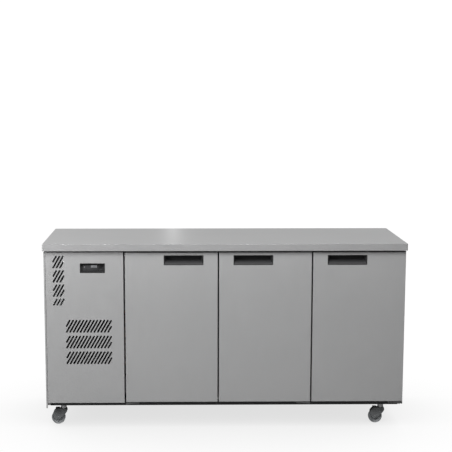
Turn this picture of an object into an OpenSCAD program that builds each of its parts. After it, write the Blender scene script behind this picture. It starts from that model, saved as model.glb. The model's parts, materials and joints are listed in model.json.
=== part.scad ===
// Three-door under counter fridge on castors, with its condensing unit at the left.
// Origin: floor level, centre of the worktop's footprint. +X right, front faces -Y, +Z up.

/* [Counter] */
// Width of the worktop
counter_w = 1830; // [1800:10:1900]
// Depth of the worktop
counter_d = 700; // [690:5:720]
// Height of the worktop above the floor
counter_h = 950; // [940:5:970]
// Height of the worktop's folded edge
worktop_t = 34; // [28:1:44]
// How far the worktop stands forward of the doors
front_overhang = 30; // [20:1:40]
// How far the worktop stands back of the rear panel
rear_overhang = 18; // [18:1:24]
// How far the worktop stands past each side
side_overhang = 3; // [2:1:6]
// Height of the cabinet's underside above the floor
castor_h = 103; // [103:1:110]

/* [Cabinet] */
// Thickness of the insulated walls
wall_t = 45; // [44:1:48]
// Thickness of skins and liners
sheet_t = 1; // [0.8:0.1:1.2]
// Height of the base pan's edge
base_h = 29; // [26:1:30]
// Width of the panel in front of the condensing unit
panel_w = 400; // [395:1:405]
// Gap between that panel and the first door
panel_gap = 8; // [7.5:0.5:10]

/* [Doors] */
// Thickness of a door without its gasket
door_t = 50; // [48:1:52]
// Gap between two doors
door_gap = 7; // [6.5:0.5:8]
// Gap between the worktop and a door
door_top_gap = 12; // [12:0.5:14]
// Height of a door
door_h = 770.5; // [765:0.5:775]
// Thickness of the gasket between door and frame
gasket_t = 12; // [11:0.5:13]
// Width of the gasket
gasket_w = 16; // [14:1:16]
// Distance of the hinge pin from the door's hinged edge
pin_inset = 25; // [25:1:26]
// Distance of the hinge pin behind the door's front
pin_setback = 15; // [14:1:16]
// Width of the recessed handle
handle_w = 200; // [180:5:220]
// Height of the recessed handle
handle_h = 50.4; // [46:0.2:54]
// Distance of the handle from the door's free edge
handle_inset = 72; // [60:1:80]
// Distance of the handle below the door's top edge
handle_drop = 13.3; // [12:0.1:20]

/* [Front panel] */
// Width of a louvre slot
slot_w = 9; // [8:0.5:10]
// Lean of a louvre slot from the vertical, in degrees
slot_lean = 30; // [28:1:32]
// Width of the controller bezel
bezel_w = 126; // [122:1:130]
// Height of the controller bezel
bezel_h = 49; // [47:1:52]

/* [Castors] */
// Wheel diameter
wheel_d = 70; // [66:1:71]
// Wheel width
wheel_w = 22; // [20:1:22]
// How far the wheel trails behind its swivel
castor_trail = 27; // [25:1:28]
// Swivel distance from the worktop's left edge
castor_inset_left = 83; // [80:1:90]
// Swivel distance from the worktop's right edge
castor_inset_right = 102; // [80:1:110]
// Front swivels' distance behind the worktop's front edge
castor_inset_front = 118; // [112:1:125]
// Rear swivels' distance ahead of the worktop's rear edge
castor_inset_rear = 110; // [105:1:125]

/* [Hidden] */
$fn = 48;
e = 1;                                       // overshoot of a cutting solid
door_count = 3;
x_l = -counter_w/2 + side_overhang;          // cabinet's left side
x_r = counter_w/2 - side_overhang;           // cabinet's right side
y_f = -counter_d/2 + front_overhang;         // front of doors and panel
y_face = y_f + door_t + gasket_t;            // front face of the cabinet
y_b = counter_d/2 - rear_overhang;           // back of the cabinet
z_top = counter_h - worktop_t;               // underside of the worktop
z_base = castor_h;                           // underside of the base
z_rim = z_base + base_h;                     // top edge of the base pan
pan_t = 2;                                   // base pan's sheet
panel_t = 1.2;                               // front panel's sheet
flange_w = 15;                               // side panels' front fold
x_bulk = x_l + panel_w + panel_gap;          // bulkhead's face in the storage section
door_z1 = z_top - door_top_gap;
door_z0 = door_z1 - door_h;
door_w = (x_r - x_bulk - (door_count - 1)*door_gap)/door_count;
bay_z0 = door_z0 + wall_t;
bay_z1 = door_z1 - wall_t;
bay_w = door_w - 2*wall_t;
liner_x0 = x_bulk + wall_t;
liner_x1 = x_r - wall_t;
liner_y1 = y_b - wall_t;
shelf_z = bay_z0 + (bay_z1 - bay_z0)/2;
run_gap = 0.05;                              // radial clearance of pins in bores
hair = 0.02;                                 // step that keeps tangent shapes apart
elbow = 0.15;                                // how much a pipe's elbow is thicker than the pipe

// hinges
hinge_on_left = [true, false, false];
bracket_w = 65;
bracket_t = 4;
bracket_gap = 1;                             // between a bracket and its door
pin_r = 5;
pin_l = 15;
pin_block = [30, 28, 22];                    // steel block round a pin, inside the door

// recessed handles and the raised inner face of a door
handle_z1 = door_z1 - handle_drop;
handle_z0 = handle_z1 - handle_h;
handle_d = 34;
liner_step = 7;
liner_margin = 47;

// controller bezel, from the panel's own corner
bezel_x = x_l + 245;
bezel_z = counter_h - 123.7;
bezel_depth = 12;
bezel_wall = 5;
bezel_proud = 1.5;
switch_x = bezel_x + 42;
switch_w = 15;
switch_h = 21;
switch_t = 6;
switch_tilt = 8;
switch_y = y_f + bezel_depth + 4;            // rocker's pivot
key_x = [-30, -13, 5];                       // keys' places beside the bezel's middle
key_drop = 9;
key_r = 2.5;
face_w = 74;
face_h = 32;
face_t = 3;
face_x = bezel_x - 10.5;
face_z = bezel_z + 1.5;

// shelves: a standard pan's footprint
shelf_w = 325;
shelf_d = 528;
shelf_y0 = liner_y1 - 8 - shelf_d;
shelf_rod = 3;
wire_r = 1.6;

// condensing unit
tray_z = z_base + 15;
tray_t = 1.5;
fan_x = x_l + 222;
fan_z = 430;
fan_y = y_face + 102;
coil_w = 290;
coil_h = 280;
coil_t = 50;
coil_y = y_face + 23;
comp_x = x_l + 172;
comp_y = 110;
comp_r = 90;
discharge_h = 110;                           // height of the discharge line above the tray
suction_d = 40;                              // suction stub beside the compressor's middle, both ways
pocket = [x_bulk - 116, -40, 560];           // evaporator pocket's low corner
pocket_size = [115, 330, 290];
pocket_foam = 25;
stub_y = [pocket[1] + 70, pocket[1] + 260];  // where the pipes enter the pocket
stub_z = pocket[2] + 80;
stub_hole_r = 7;
evap_y = pocket[1] + pocket_size[1]/2;
evap_z = pocket[2] + pocket_size[2]/2;
evap_fan_x = x_bulk + 4;
line_x = x_bulk - 21;                        // refrigerant lines beside the bulkhead
liquid_r = 4;
suction_r = 5;

castor_x = [-counter_w/2 + castor_inset_left, counter_w/2 - castor_inset_right];
castor_y = [-counter_d/2 + castor_inset_front, counter_d/2 - castor_inset_rear];
panel_top = counter_h - 43.7;                // front panel's upper edge
post_w = 7.5;                                // corner post's width
crown_z = castor_h - 21;
wheel_r = wheel_d/2;
boss_r = 15;
stem_r = 6;
kingpin_r = 5;
axle_r = 4;
plate_y = wheel_w/2 + 3.5;                   // inner face of a fork's side plate
fork_t = 2.5;                                // fork's side plates
head_x = 17.5;                               // front of a fork's head, ahead of the swivel
pedal_x = -24;                               // brake pedal's pivot beside the swivel
pedal_pin_r = 2;

steel = [0.70, 0.70, 0.71];
black_enamel = [0.06, 0.06, 0.065];
galvanised = [0.62, 0.64, 0.66];
foam_colour = [0.93, 0.86, 0.62];
black_plastic = [0.07, 0.07, 0.075];
dark_grey = [0.22, 0.23, 0.24];
copper = [0.72, 0.42, 0.26];

// ---------- shared shapes ----------

// a block given by its limits along each axis
module block(x, y, z) {
    translate([x[0], y[0], z[0]]) cube([x[1] - x[0], y[1] - y[0], z[1] - z[0]]);
}

// a round bar along X, Y or Z from a point
module bar_x(p, r, l) { translate(p) rotate([0, 90, 0]) cylinder(r = r, h = l); }
module bar_y(p, r, l) { translate(p) rotate([-90, 0, 0]) cylinder(r = r, h = l); }
module bar_z(p, r, l) { translate(p) cylinder(r = r, h = l); }

// a 2D stroke with round ends, from a to b; the ends are a hair wider than the middle
module stroke(a, b, w) {
    d = b - a;
    mid = w - 2*hair;
    translate(a) circle(d = w);
    translate(b) circle(d = w);
    translate(a) rotate(atan2(d[1], d[0])) translate([0, -mid/2]) square([norm(d), mid]);
}

// a tube along a list of points, with a brazed elbow a little thicker than the tube at each bend
module run(points, r) {
    for (i = [0 : len(points) - 2]) {
        d = points[i + 1] - points[i];
        translate(points[i]) rotate([0, acos(d[2]/norm(d)), atan2(d[1], d[0])]) cylinder(r = r, h = norm(d));
        if (i > 0) translate(points[i]) sphere(r = r + elbow);
    }
}

// ---------- cabinet ----------

module worktop() {
    x = counter_w/2;
    y = counter_d/2;
    skin = 1.2;
    lip = 20;
    rib_w = 60;
    rib_y = [-220, 0, 220];
    rib_end = lip + 10;
    color(steel) {
        difference() {
            block([-x, x], [-y, y], [z_top, counter_h]);
            block([skin - x, x - skin], [skin - y, y - skin], [z_top + skin, counter_h - skin]);
            block([lip - x, x - lip], [lip - y, y - lip], [z_top - e, z_top + 2*skin]);
        }
        for (ry = rib_y) difference() {
            block([rib_end - x, x - rib_end], [ry - rib_w/2, ry + rib_w/2], [z_top, counter_h - skin]);
            block([rib_end - e - x, x - rib_end + e], [ry - rib_w/2 + skin, ry + rib_w/2 - skin],
                [z_top + skin, counter_h]);
        }
    }
}

// one side sheet, folded in at the front and the back
module side_panel(side) {
    edge = side < 0 ? x_l : x_r;
    in1 = edge - side*sheet_t;
    in2 = edge - side*flange_w;
    block([min(edge, in1), max(edge, in1)], [y_face, y_b], [z_base, z_top]);
    block([min(edge, in2), max(edge, in2)], [y_face, y_face + sheet_t], [z_base, z_top]);
}

// the left side sheet's fold that reaches forward beside the front panel
module corner_post() {
    block([x_l, x_l + sheet_t], [y_f, y_face + e], [z_base, panel_top]);
    block([x_l, x_l + post_w], [y_f, y_f + sheet_t], [z_base, panel_top]);
}

module side_panels() {
    color(steel) {
        union() {
            side_panel(-1);
            corner_post();
        }
        side_panel(1);
    }
}

module back_panel() {
    bead = [160, 2, 10];                     // a stiffening bead's length, height and width
    bead_x = x_bulk + 150;
    color(galvanised) {
        block([x_bulk - sheet_t, x_r - sheet_t], [y_b - sheet_t, y_b], [z_rim, z_top]);
        for (i = [0 : door_count - 1], z = [z_rim + 90, z_top - 120])
            translate([bead_x + i*(door_w + door_gap), y_b - hair, z]) cube(bead + [0, hair, 0]);
    }
}

module rear_grille() {
    x0 = x_l + sheet_t;
    x1 = x_bulk - sheet_t;
    pitch = 22;
    slot_l = 130;
    inset = 105;                             // of a column's middle from the sheet's edge
    low = [for (i = [0 : 9]) z_rim + 70 + i*pitch];
    high = [for (i = [0 : 6]) z_top - 60 - i*pitch];
    color(galvanised) difference() {
        block([x0, x1], [y_b - sheet_t, y_b], [z_rim, z_top]);
        translate([0, y_b + e, 0]) rotate([90, 0, 0]) linear_extrude(sheet_t + 2*e)
            for (cx = [x0 + inset, x1 - inset], z = concat(low, high))
                stroke([cx - slot_l/2, z], [cx + slot_l/2, z], slot_w);
    }
}

module base_pan() {
    x = x_r - sheet_t;
    fold = x_r - flange_w;
    drain_x = [x_l + 120, x_l + 320];
    drain_y = [for (i = [0 : 7]) i*24 - 100];
    drain_w = 8;
    color(black_enamel) difference() {
        union() {
            block([-x, x], [y_face + pan_t, y_b], [z_base, z_base + pan_t]);
            block([-fold, fold], [y_face, y_face + pan_t], [z_base, z_rim]);
            block([-x, x], [y_b - pan_t, y_b], [z_base, z_rim]);
            for (x0 = [-x, x - pan_t]) block([x0, x0 + pan_t], [y_face + pan_t, y_b], [z_base, z_rim]);
        }
        for (cx = castor_x, cy = castor_y) bar_z([cx, cy, z_base - e], stem_r + 0.2, pan_t + 2*e);
        translate([0, 0, z_base - e]) linear_extrude(pan_t + 2*e)
            for (y = drain_y) stroke([drain_x[0], y], [drain_x[1], y], drain_w);
    }
}

// the sheet between the condensing unit and the storage section, with the evaporator's pocket
module bulkhead() {
    far = pocket + pocket_size;
    color(galvanised) difference() {
        union() {
            block([x_bulk - sheet_t, x_bulk], [y_face + pan_t, y_b - pan_t], [z_base + pan_t, z_top]);
            translate(pocket) cube(pocket_size);
        }
        block([pocket[0] + sheet_t, x_bulk + e], [pocket[1] + sheet_t, far[1] - sheet_t],
            [pocket[2] + sheet_t, far[2] - sheet_t]);
        for (sy = stub_y) bar_x([pocket[0] - e, sy, stub_z], stub_hole_r, 3*e);
    }
}

// the storage section's inside, grown by a margin and run past its open front by another
module liner_shape(grow, past = 0) {
    r = 12 + grow;
    translate([0, liner_y1 + grow, 0]) rotate([90, 0, 0])
        linear_extrude(liner_y1 + grow - y_face - sheet_t + past) {
            x0 = liner_x0 - grow;
            x1 = liner_x1 + grow;
            z0 = bay_z0 - grow;
            z1 = bay_z1 + grow;
            translate([x0, z0 + r]) square([x1 - x0, z1 - z0 - 2*r]);
            translate([x0 + r, z0]) square([x1 - x0 - 2*r, z1 - z0]);
            for (cx = [x0 + r, x1 - r], cz = [z0 + r, z1 - r]) translate([cx, cz]) circle(r = r);
        }
}

// the hole through the wall between the evaporator's pocket and the storage section
module evaporator_opening(x0, x1) {
    block([x0, x1], [pocket[1] + pocket_foam, pocket[1] + pocket_size[1] - pocket_foam],
        [pocket[2] + pocket_foam, pocket[2] + pocket_size[2] - pocket_foam]);
}

module inner_liner() {
    color(steel) difference() {
        liner_shape(sheet_t);
        liner_shape(0, e);
        evaporator_opening(liner_x0 - 2*e, liner_x0 + e);
    }
}

module body_foam() {
    nut_room = [16, 26];                     // radius and height of the room over a castor's nut
    color(foam_colour) difference() {
        union() {
            block([x_bulk, x_r - sheet_t - pan_t], [y_face + pan_t, y_b - pan_t], [z_base + pan_t, z_top]);
            translate(pocket + [sheet_t, sheet_t, sheet_t]) cube(pocket_size + [e, -2*sheet_t, -2*sheet_t]);
        }
        liner_shape(sheet_t, e);
        evaporator_opening(pocket[0] + pocket_foam, liner_x0);
        for (sy = stub_y) bar_x([pocket[0] - e, sy, stub_z], stub_hole_r, pocket_foam + 2*e);
        for (cy = castor_y) bar_z([castor_x[1], cy, z_base], nut_room[0], nut_room[1]);
    }
}

module front_frame() {
    r = 6;
    color(steel) difference() {
        block([x_bulk, x_r - flange_w], [y_face, y_face + sheet_t], [z_rim, z_top]);
        translate([0, y_face + sheet_t + e, 0]) rotate([90, 0, 0]) linear_extrude(sheet_t + 2*e)
            for (i = [0 : door_count - 1]) {
                x0 = door_x(i) + wall_t;
                translate([x0, bay_z0 + r]) square([bay_w, bay_z1 - bay_z0 - 2*r]);
                translate([x0 + r, bay_z0]) square([bay_w - 2*r, bay_z1 - bay_z0]);
                for (cx = [x0 + r, x0 + bay_w - r], cz = [bay_z0 + r, bay_z1 - r])
                    translate([cx, cz]) circle(r = r);
            }
    }
}

module mullions() {
    depth = 50;
    tube = 1.2;
    y0 = y_face + sheet_t;
    color(steel) for (i = [1 : door_count - 1]) {
        x0 = door_x(i) - door_gap - wall_t;
        x1 = door_x(i) + wall_t;
        difference() {
            block([x0, x1], [y0, y0 + depth], [bay_z0, bay_z1]);
            block([x0 + tube, x1 - tube], [y0 + tube, y0 + depth - tube], [bay_z0 - e, bay_z1 + e]);
        }
    }
}

// ---------- hinges ----------

// one hinge bracket: plate, fold against the cabinet, wedge and pin; up is 1 at a door's top and -1 below it
module hinge_bracket(i, up) {
    s = hinge_on_left[i] ? 1 : -1;
    edge = hinge_on_left[i] ? door_x(i) : door_x(i) + door_w;
    z0 = up > 0 ? door_z1 + bracket_gap : door_z0 - bracket_gap;
    fold = up > 0 ? door_top_gap - bracket_gap - 0.5 : 24;
    wedge = up > 0 ? [0, 0] : [50, 9];       // length and drop of the stiffener under a lower bracket
    far = edge + s*bracket_w;
    x = [min(edge, far), max(edge, far)];
    z = [min(z0, z0 + up*bracket_t), max(z0, z0 + up*bracket_t)];
    block(x, [y_f, y_face], z);
    block(x, [y_face - bracket_t, y_face], [min(z0, z0 + up*fold), max(z0, z0 + up*fold)]);
    bar_z([edge + s*pin_inset, y_f + pin_setback, min(z0 - up*pin_l, z0 + up*e)], pin_r, pin_l + e);
    if (wedge[1] > 0) translate([edge, y_f + 3, z0 - bracket_t]) rotate([90, 0, 0]) linear_extrude(3)
        polygon([[0, e], [s*wedge[0], e], [s*wedge[0], 0], [0, -wedge[1]]]);
}

module hinge_brackets() {
    color(steel) for (i = [0 : door_count - 1], up = [-1, 1]) hinge_bracket(i, up);
}

// ---------- doors ----------

function door_x(i) = x_bulk + i*(door_w + door_gap);
function pin_x(i) = hinge_on_left[i] ? door_x(i) + pin_inset : door_x(i) + door_w - pin_inset;
function handle_x(i) = hinge_on_left[i] ? door_x(i) + door_w - handle_inset - handle_w
    : door_x(i) + handle_inset;

module handle_space(i, grow) {
    block([handle_x(i) - grow, handle_x(i) + handle_w + grow], [y_f - e, y_f + handle_d + grow],
        [handle_z0 - grow, handle_z1 + grow]);
}

// the steel blocks that hold the hinge pins, inside a door's top and bottom edges
module hinge_blocks(i) {
    for (z0 = [door_z0 + sheet_t, door_z1 - sheet_t - pin_block[2]])
        translate([pin_x(i) - pin_block[0]/2, y_f + sheet_t, z0]) cube(pin_block);
}

module door_skin(i) {
    x0 = door_x(i);
    x1 = x0 + door_w;
    bore_l = pin_l + 2;
    color(steel) difference() {
        union() {
            difference() {
                block([x0, x1], [y_f, y_f + door_t - sheet_t], [door_z0, door_z1]);
                block([x0 + sheet_t, x1 - sheet_t], [y_f + sheet_t, y_f + door_t],
                    [door_z0 + sheet_t, door_z1 - sheet_t]);
            }
            hinge_blocks(i);
        }
        handle_space(i, -2);
        bar_z([pin_x(i), y_f + pin_setback, door_z0 - e], pin_r + run_gap, bore_l + e);
        bar_z([pin_x(i), y_f + pin_setback, door_z1 - bore_l], pin_r + run_gap, bore_l + e);
    }
}

module door_liner(i) {
    x0 = door_x(i);
    x1 = x0 + door_w;
    y1 = y_f + door_t;
    m = liner_margin;
    color(steel) difference() {
        union() {
            block([x0, x1], [y1 - sheet_t, y1], [door_z0, door_z1]);
            block([x0 + m, x1 - m], [y1 - sheet_t, y1 + liner_step], [door_z0 + m, door_z1 - m]);
        }
        block([x0 + m + sheet_t, x1 - m - sheet_t], [y1 - sheet_t - e, y1 + liner_step - sheet_t],
            [door_z0 + m + sheet_t, door_z1 - m - sheet_t]);
    }
}

module door_foam(i) {
    x0 = door_x(i) + sheet_t;
    x1 = door_x(i) + door_w - sheet_t;
    y1 = y_f + door_t;
    m = liner_margin;
    color(foam_colour) difference() {
        union() {
            block([x0, x1], [y_f + sheet_t, y1 - sheet_t], [door_z0 + sheet_t, door_z1 - sheet_t]);
            block([x0 + m, x1 - m], [y1 - 2*sheet_t, y1 + liner_step - sheet_t],
                [door_z0 + m + sheet_t, door_z1 - m - sheet_t]);
        }
        handle_space(i, 0);
        hinge_blocks(i);
    }
}

// a scooped grip: the upper half is deep enough for fingers and the lower half slopes out to the rim
module door_handle(i) {
    x0 = handle_x(i);
    x1 = x0 + handle_w;
    rim = 2;
    proud = 1.2;
    end_slope = 9;
    wall = 2.5;
    mid = (handle_z0 + handle_z1)/2;
    y1 = y_f + handle_d - wall;
    color(black_plastic) difference() {
        union() {
            block([x0, x1], [y_f - proud, y_f], [handle_z0, handle_z1]);
            block([x0 + rim, x1 - rim], [y_f - proud, y_f + handle_d], [handle_z0 + rim, handle_z1 - rim]);
        }
        hull() {
            block([x0 + rim, x1 - rim], [y_f - proud - e, y_f - proud], [handle_z0 + rim, handle_z1 - rim]);
            block([x0 + rim + end_slope, x1 - rim - end_slope], [y1 - e, y1],
                [mid - 2, handle_z1 - rim - wall]);
        }
    }
}

module door_gasket(i) {
    x0 = door_x(i) + pin_inset;
    x1 = door_x(i) + door_w - pin_inset;
    z0 = door_z0 + pin_inset;
    z1 = door_z1 - pin_inset;
    y = [y_f + door_t, y_face - 0.4];
    w = gasket_w;
    color(dark_grey) difference() {
        block([x0, x1], y, [z0, z1]);
        block([x0 + w, x1 - w], [y[0] - e, y[1] + e], [z0 + w, z1 - w]);
    }
}

// ---------- front panel and controls ----------

// one row of leaning slots: whole ones between a cut one at each end; the limits are the slots' own edges
module louvre_row(x0, x1, z0, z1, pitch) {
    r = slot_w/2;
    lean = tan(slot_lean);
    a0 = x0 + r;
    a1 = x1 - r;
    b0 = z0 + r;
    b1 = z1 - r;
    count = floor((a1 - a0)/pitch + 1.6);
    first = b1 - b0 > 50 ? -1 : -0.02;
    for (k = [0 : count]) {
        foot = a0 + (k + first)*pitch;
        low = max(b0, b0 + (a0 - foot)/lean);
        high = min(b1, b0 + (a1 - foot)/lean);
        if (high - low > 10) stroke([foot + (low - b0)*lean, low], [foot + (high - b0)*lean, high], slot_w);
    }
}

// a narrow column of four rows at the left and a wide block of three rows below
module louvres() {
    column_x = [x_l + 44, x_l + 104];
    column_h = [64.5, 64.5, 64.5, 37];
    for (i = [0 : 3]) {
        z = counter_h - 60.3 - i*72.5;
        louvre_row(column_x[0], column_x[1], z - column_h[i], z, 17.3);
    }
    block_x = [x_l + 106, x_l + 340];
    block_h = 67;
    for (i = [0 : 2]) {
        z = counter_h - 387.3 - i*81.5;
        louvre_row(block_x[0], block_x[1], z - block_h, z, 17.5);
    }
}

module front_panel() {
    x0 = x_l + post_w + 1.2;
    x1 = x_l + panel_w;
    z0 = z_base + 27;
    rim = 2;                                 // the bezel's edge overlaps the opening
    color(steel) difference() {
        block([x0, x1], [y_f, y_face - 0.5], [z0, panel_top]);
        block([x0 + panel_t, x1 - panel_t], [y_f + panel_t, y_face], [z0 + panel_t, panel_top - panel_t]);
        translate([0, y_f + panel_t + e, 0]) rotate([90, 0, 0]) linear_extrude(panel_t + 2*e) louvres();
        block([bezel_x - bezel_w/2 + rim, bezel_x + bezel_w/2 - rim], [y_f - e, y_f + panel_t + e],
            [bezel_z - bezel_h/2 + rim, bezel_z + bezel_h/2 - rim]);
    }
}

module controller_bezel() {
    w = bezel_w/2;
    h = bezel_h/2;
    in_x = [bezel_x - w + bezel_wall, bezel_x + w - bezel_wall];
    in_z = [bezel_z - h + bezel_wall - 2, bezel_z + h - bezel_wall + 2];
    plate = [y_f + bezel_depth, y_f + bezel_depth + 3];
    housing = [11, 16, 15];                  // of the rocker: half width, depth, half height
    color(black_plastic) difference() {
        union() {
            block([bezel_x - w, bezel_x + w], [y_f - bezel_proud, y_f], [bezel_z - h, bezel_z + h]);
            block([bezel_x - w + 2, bezel_x + w - 2], [y_f - bezel_proud, plate[1]],
                [bezel_z - h + 2, bezel_z + h - 2]);
            block([switch_x - housing[0], switch_x + housing[0]], [plate[0], plate[0] + housing[1]],
                [bezel_z - housing[2], bezel_z + housing[2]]);
        }
        block(in_x, [y_f - bezel_proud - e, plate[0]], in_z);
        block([face_x - face_w/2 + 1.5, face_x + face_w/2 - 1.5], [plate[0] - e, plate[1] + e],
            [face_z - face_h/2 + 1.5, face_z + face_h/2 - 1.5]);
        block([switch_x - switch_w/2 - 0.4, switch_x + switch_w/2 + 0.4],
            [plate[0] - e, plate[0] + housing[1] - 2],
            [bezel_z - switch_h/2 - 1, bezel_z + switch_h/2 + 1]);
        bar_x([switch_x - 9.5, switch_y, bezel_z], 1.5 + run_gap, 19);
    }
}

// the face's rim rests on the bezel, its body reaches back through it
module controller_body() {
    y0 = y_f + bezel_depth;
    cut = 1.7;
    body_d = 58;
    window_t = 0.8;
    w = face_w/2;
    h = face_h/2;
    color(dark_grey) difference() {
        union() {
            block([face_x - w, face_x + w], [y0 - face_t, y0], [face_z - h, face_z + h]);
            block([face_x - w + cut, face_x + w - cut], [y0 - face_t, y0 + body_d],
                [face_z - h + cut, face_z + h - cut]);
        }
        block([face_x + 2, face_x + w - 4], [y0 - face_t - e, y0 - face_t + window_t],
            [face_z - 1, face_z + h - 3]);
        for (k = key_x) bar_y([bezel_x + k, y0 - face_t - e, face_z - key_drop], key_r + run_gap, 8);
    }
}

module button(k) {
    proud = 0.9;
    color(black_plastic)
        bar_y([bezel_x + key_x[k], y_f + bezel_depth - face_t - proud, face_z - key_drop], key_r, 6);
}

module power_rocker() {
    color(black_plastic) translate([switch_x, switch_y, bezel_z]) rotate([switch_tilt, 0, 0]) {
        difference() {
            block([-switch_w/2, switch_w/2], [-switch_t, 2.5], [-switch_h/2, switch_h/2]);
            bar_x([-switch_w/2 - e, -switch_t - 24.5, 0], 26, switch_w + 2*e);
        }
        bar_x([-8.5, 0, 0], 1.5, 17);
    }
}

// ---------- condensing unit ----------

module unit_tray() {
    x0 = x_l + 30;
    x1 = x_bulk - 16;
    y = [y_face + 15, y_b - 20];
    z1 = tray_z + tray_t;
    color(galvanised) {
        block([x0, x1], y, [tray_z, z1]);
        for (x = [[x0, x0 + tray_t], [x1 - tray_t, x1]]) block(x, y, [z_base + pan_t, z1]);
    }
}

module compressor() {
    z0 = tray_z + tray_t;
    foot = 12;
    body_h = 190;
    r = comp_r;
    dome = 25;
    plate = [190, 110, 4];
    color(black_enamel) {
        translate([comp_x, comp_y, z0 + foot]) rotate_extrude() {
            square([r - dome, body_h]);
            translate([0, dome]) square([r, body_h - 2*dome]);
            for (cz = [dome, body_h - dome]) intersection() {
                translate([r - dome, cz]) circle(r = dome);
                square([r, body_h]);
            }
        }
        translate([comp_x - plate[0]/2, comp_y - plate[1]/2, z0 + foot]) cube(plate);
        for (sx = [-80, 80], sy = [-42, 42]) bar_z([comp_x + sx, comp_y + sy, z0], 12, foot + 1);
        block([comp_x - r - 15, comp_x - 70], [comp_y - 35, comp_y + 35], [z0 + 70, z0 + 150]);
        bar_x([comp_x + r - 20, comp_y, z0 + discharge_h], 5, 40);
        bar_z([comp_x + suction_d, comp_y + suction_d, z0 + body_h], 7, 40);
    }
}

// fin block with its tube bends, legs and fan ring
module condenser() {
    x0 = fan_x - coil_w/2;
    x1 = fan_x + coil_w/2;
    z0 = fan_z - coil_h/2;
    y1 = coil_y + coil_t;
    rows = 5;
    ring_l = 34;
    color([0.66, 0.68, 0.70]) {
        block([x0, x1], [coil_y, y1], [z0, z0 + coil_h]);
        for (x = [[x0, x0 + 2], [x1 - 2, x1]]) block(x, [coil_y, y1], [tray_z + tray_t, z0 + e]);
        for (side = [-1, 1], i = [0 : rows - 1])
            translate([side < 0 ? x0 : x1, coil_y + coil_t/2, z0 + 40 + i*50])
                rotate([90, 0, 0]) rotate([0, 0, side < 0 ? 90 : -90])
                    rotate_extrude(angle = 180) translate([12, 0]) circle(r = 4);
        for (z = [z0 + 15, z0 + coil_h - 15]) bar_x([x1 - e, coil_y + coil_t/2, z], 4, line_x - x1 - 14);
        difference() {
            bar_y([fan_x, y1 - e, fan_z], 124, ring_l + e);
            bar_y([fan_x, y1, fan_z], 121.5, ring_l + e);
        }
    }
}

module condenser_fan() {
    blade_r = 118;
    color(black_plastic) {
        bar_y([fan_x, fan_y - 26, fan_z], 24, 22);
        bar_y([fan_x, fan_y - 5, fan_z], 3, 26);
        intersection() {
            bar_y([fan_x, fan_y - 26, fan_z], blade_r, 24);
            for (k = [0 : 4]) translate([fan_x, fan_y - 14, fan_z]) rotate([0, k*72, 0])
                rotate([0, 0, 24]) translate([-34, -1, 20]) cube([68, 2, blade_r]);
        }
    }
}

module condenser_fan_motor() {
    y0 = coil_y + coil_t + 34;
    color(dark_grey) difference() {
        union() {
            bar_y([fan_x, y0, fan_z], 36, 50);
            for (a = [45 : 90 : 315]) translate([fan_x, y0, fan_z]) rotate([0, a, 0])
                block([-7, 7], [0, 3], [30, 123.5]);
        }
        bar_y([fan_x, y0 - e, fan_z], 3 + run_gap, 30);
    }
}

module refrigerant_pipes() {
    z0 = tray_z + tray_t;
    coil_mid = coil_y + coil_t/2;
    top = fan_z + coil_h/2 - 15;
    low = fan_z - coil_h/2 + 15;
    stub = pocket[0] - 10;
    turn_y = 60;                             // where the liquid line turns towards the pocket
    liquid_x = stub - 12;
    suction_x = stub - 14;
    suction = [comp_x + suction_d, comp_y + suction_d, z0 + 260];
    drier = [12, 90];
    color(copper) {
        run([[comp_x + comp_r + 20, comp_y, z0 + discharge_h], [line_x, comp_y, z0 + discharge_h],
            [line_x, comp_y, top], [line_x, coil_mid, top], [line_x - 15, coil_mid, top]], liquid_r);
        run([[line_x - 15, coil_mid, low], [line_x, coil_mid, low], [line_x, turn_y, low],
            [liquid_x, turn_y, low], [liquid_x, turn_y, stub_z], [liquid_x, stub_y[0], stub_z],
            [stub, stub_y[0], stub_z]], liquid_r);
        bar_y([line_x, turn_y - 120, low], drier[0], drier[1]);
        run([[stub, stub_y[1], stub_z], [suction_x, stub_y[1], stub_z], [suction_x, stub_y[1], suction[2]],
            [suction[0], stub_y[1], suction[2]], suction, suction - [0, 0, 30]], suction_r);
    }
}

module electrical_box() {
    x0 = x_l + sheet_t;
    color([0.78, 0.79, 0.80]) {
        block([x0, x0 + 52], [80, 280], [560, 760]);
        block([x0 + 52, x0 + 60], [76, 284], [556, 764]);
    }
}

// mains cord: it leaves a gland, hangs in a half ring and ends in a plug clipped to the back
module power_cord() {
    r = 4;
    loop_r = 90;
    gland_r = 10;
    y = y_b + 9;
    cx = x_l + 152;
    cz = 470;
    plug_x = [cx + loop_r - 18, cx + loop_r + 18];
    color(black_plastic) {
        bar_y([cx - loop_r, y_b, cz + 4], gland_r, 16);
        translate([cx, y, cz]) rotate([90, 0, 0]) rotate([0, 0, 180])
            rotate_extrude(angle = 180) translate([loop_r, 0]) circle(r = r);
        block(plug_x, [y_b + 1, y_b + 16.5], [cz - 2, cz + 50]);
        for (s = [-9.5, 9.5]) bar_z([cx + loop_r + s, y, cz + 49], 2.4, 20);
    }
}

// ---------- evaporator ----------

module evaporator_coil() {
    x0 = pocket[0] + pocket_foam + 3;
    y = [evap_y - 132, evap_y + 132];
    z = [evap_z - 110, evap_z + 110];
    color([0.72, 0.74, 0.76]) {
        block([x0, x0 + 44], [y[0] + 8, y[1] - 8], z);
        for (side = [0, 1], i = [0 : 3])
            translate([x0 + 22, side < 1 ? y[0] + 8 : y[1] - 8, z[0] + 40 + i*48])
                rotate([0, 90, 0]) rotate([0, 0, side < 1 ? 180 : 0])
                    rotate_extrude(angle = 180) translate([8, 0]) circle(r = 3);
        for (k = [0, 1]) bar_x([pocket[0] - 10, stub_y[k], stub_z], k < 1 ? liquid_r : suction_r, 42);
    }
}

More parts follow.
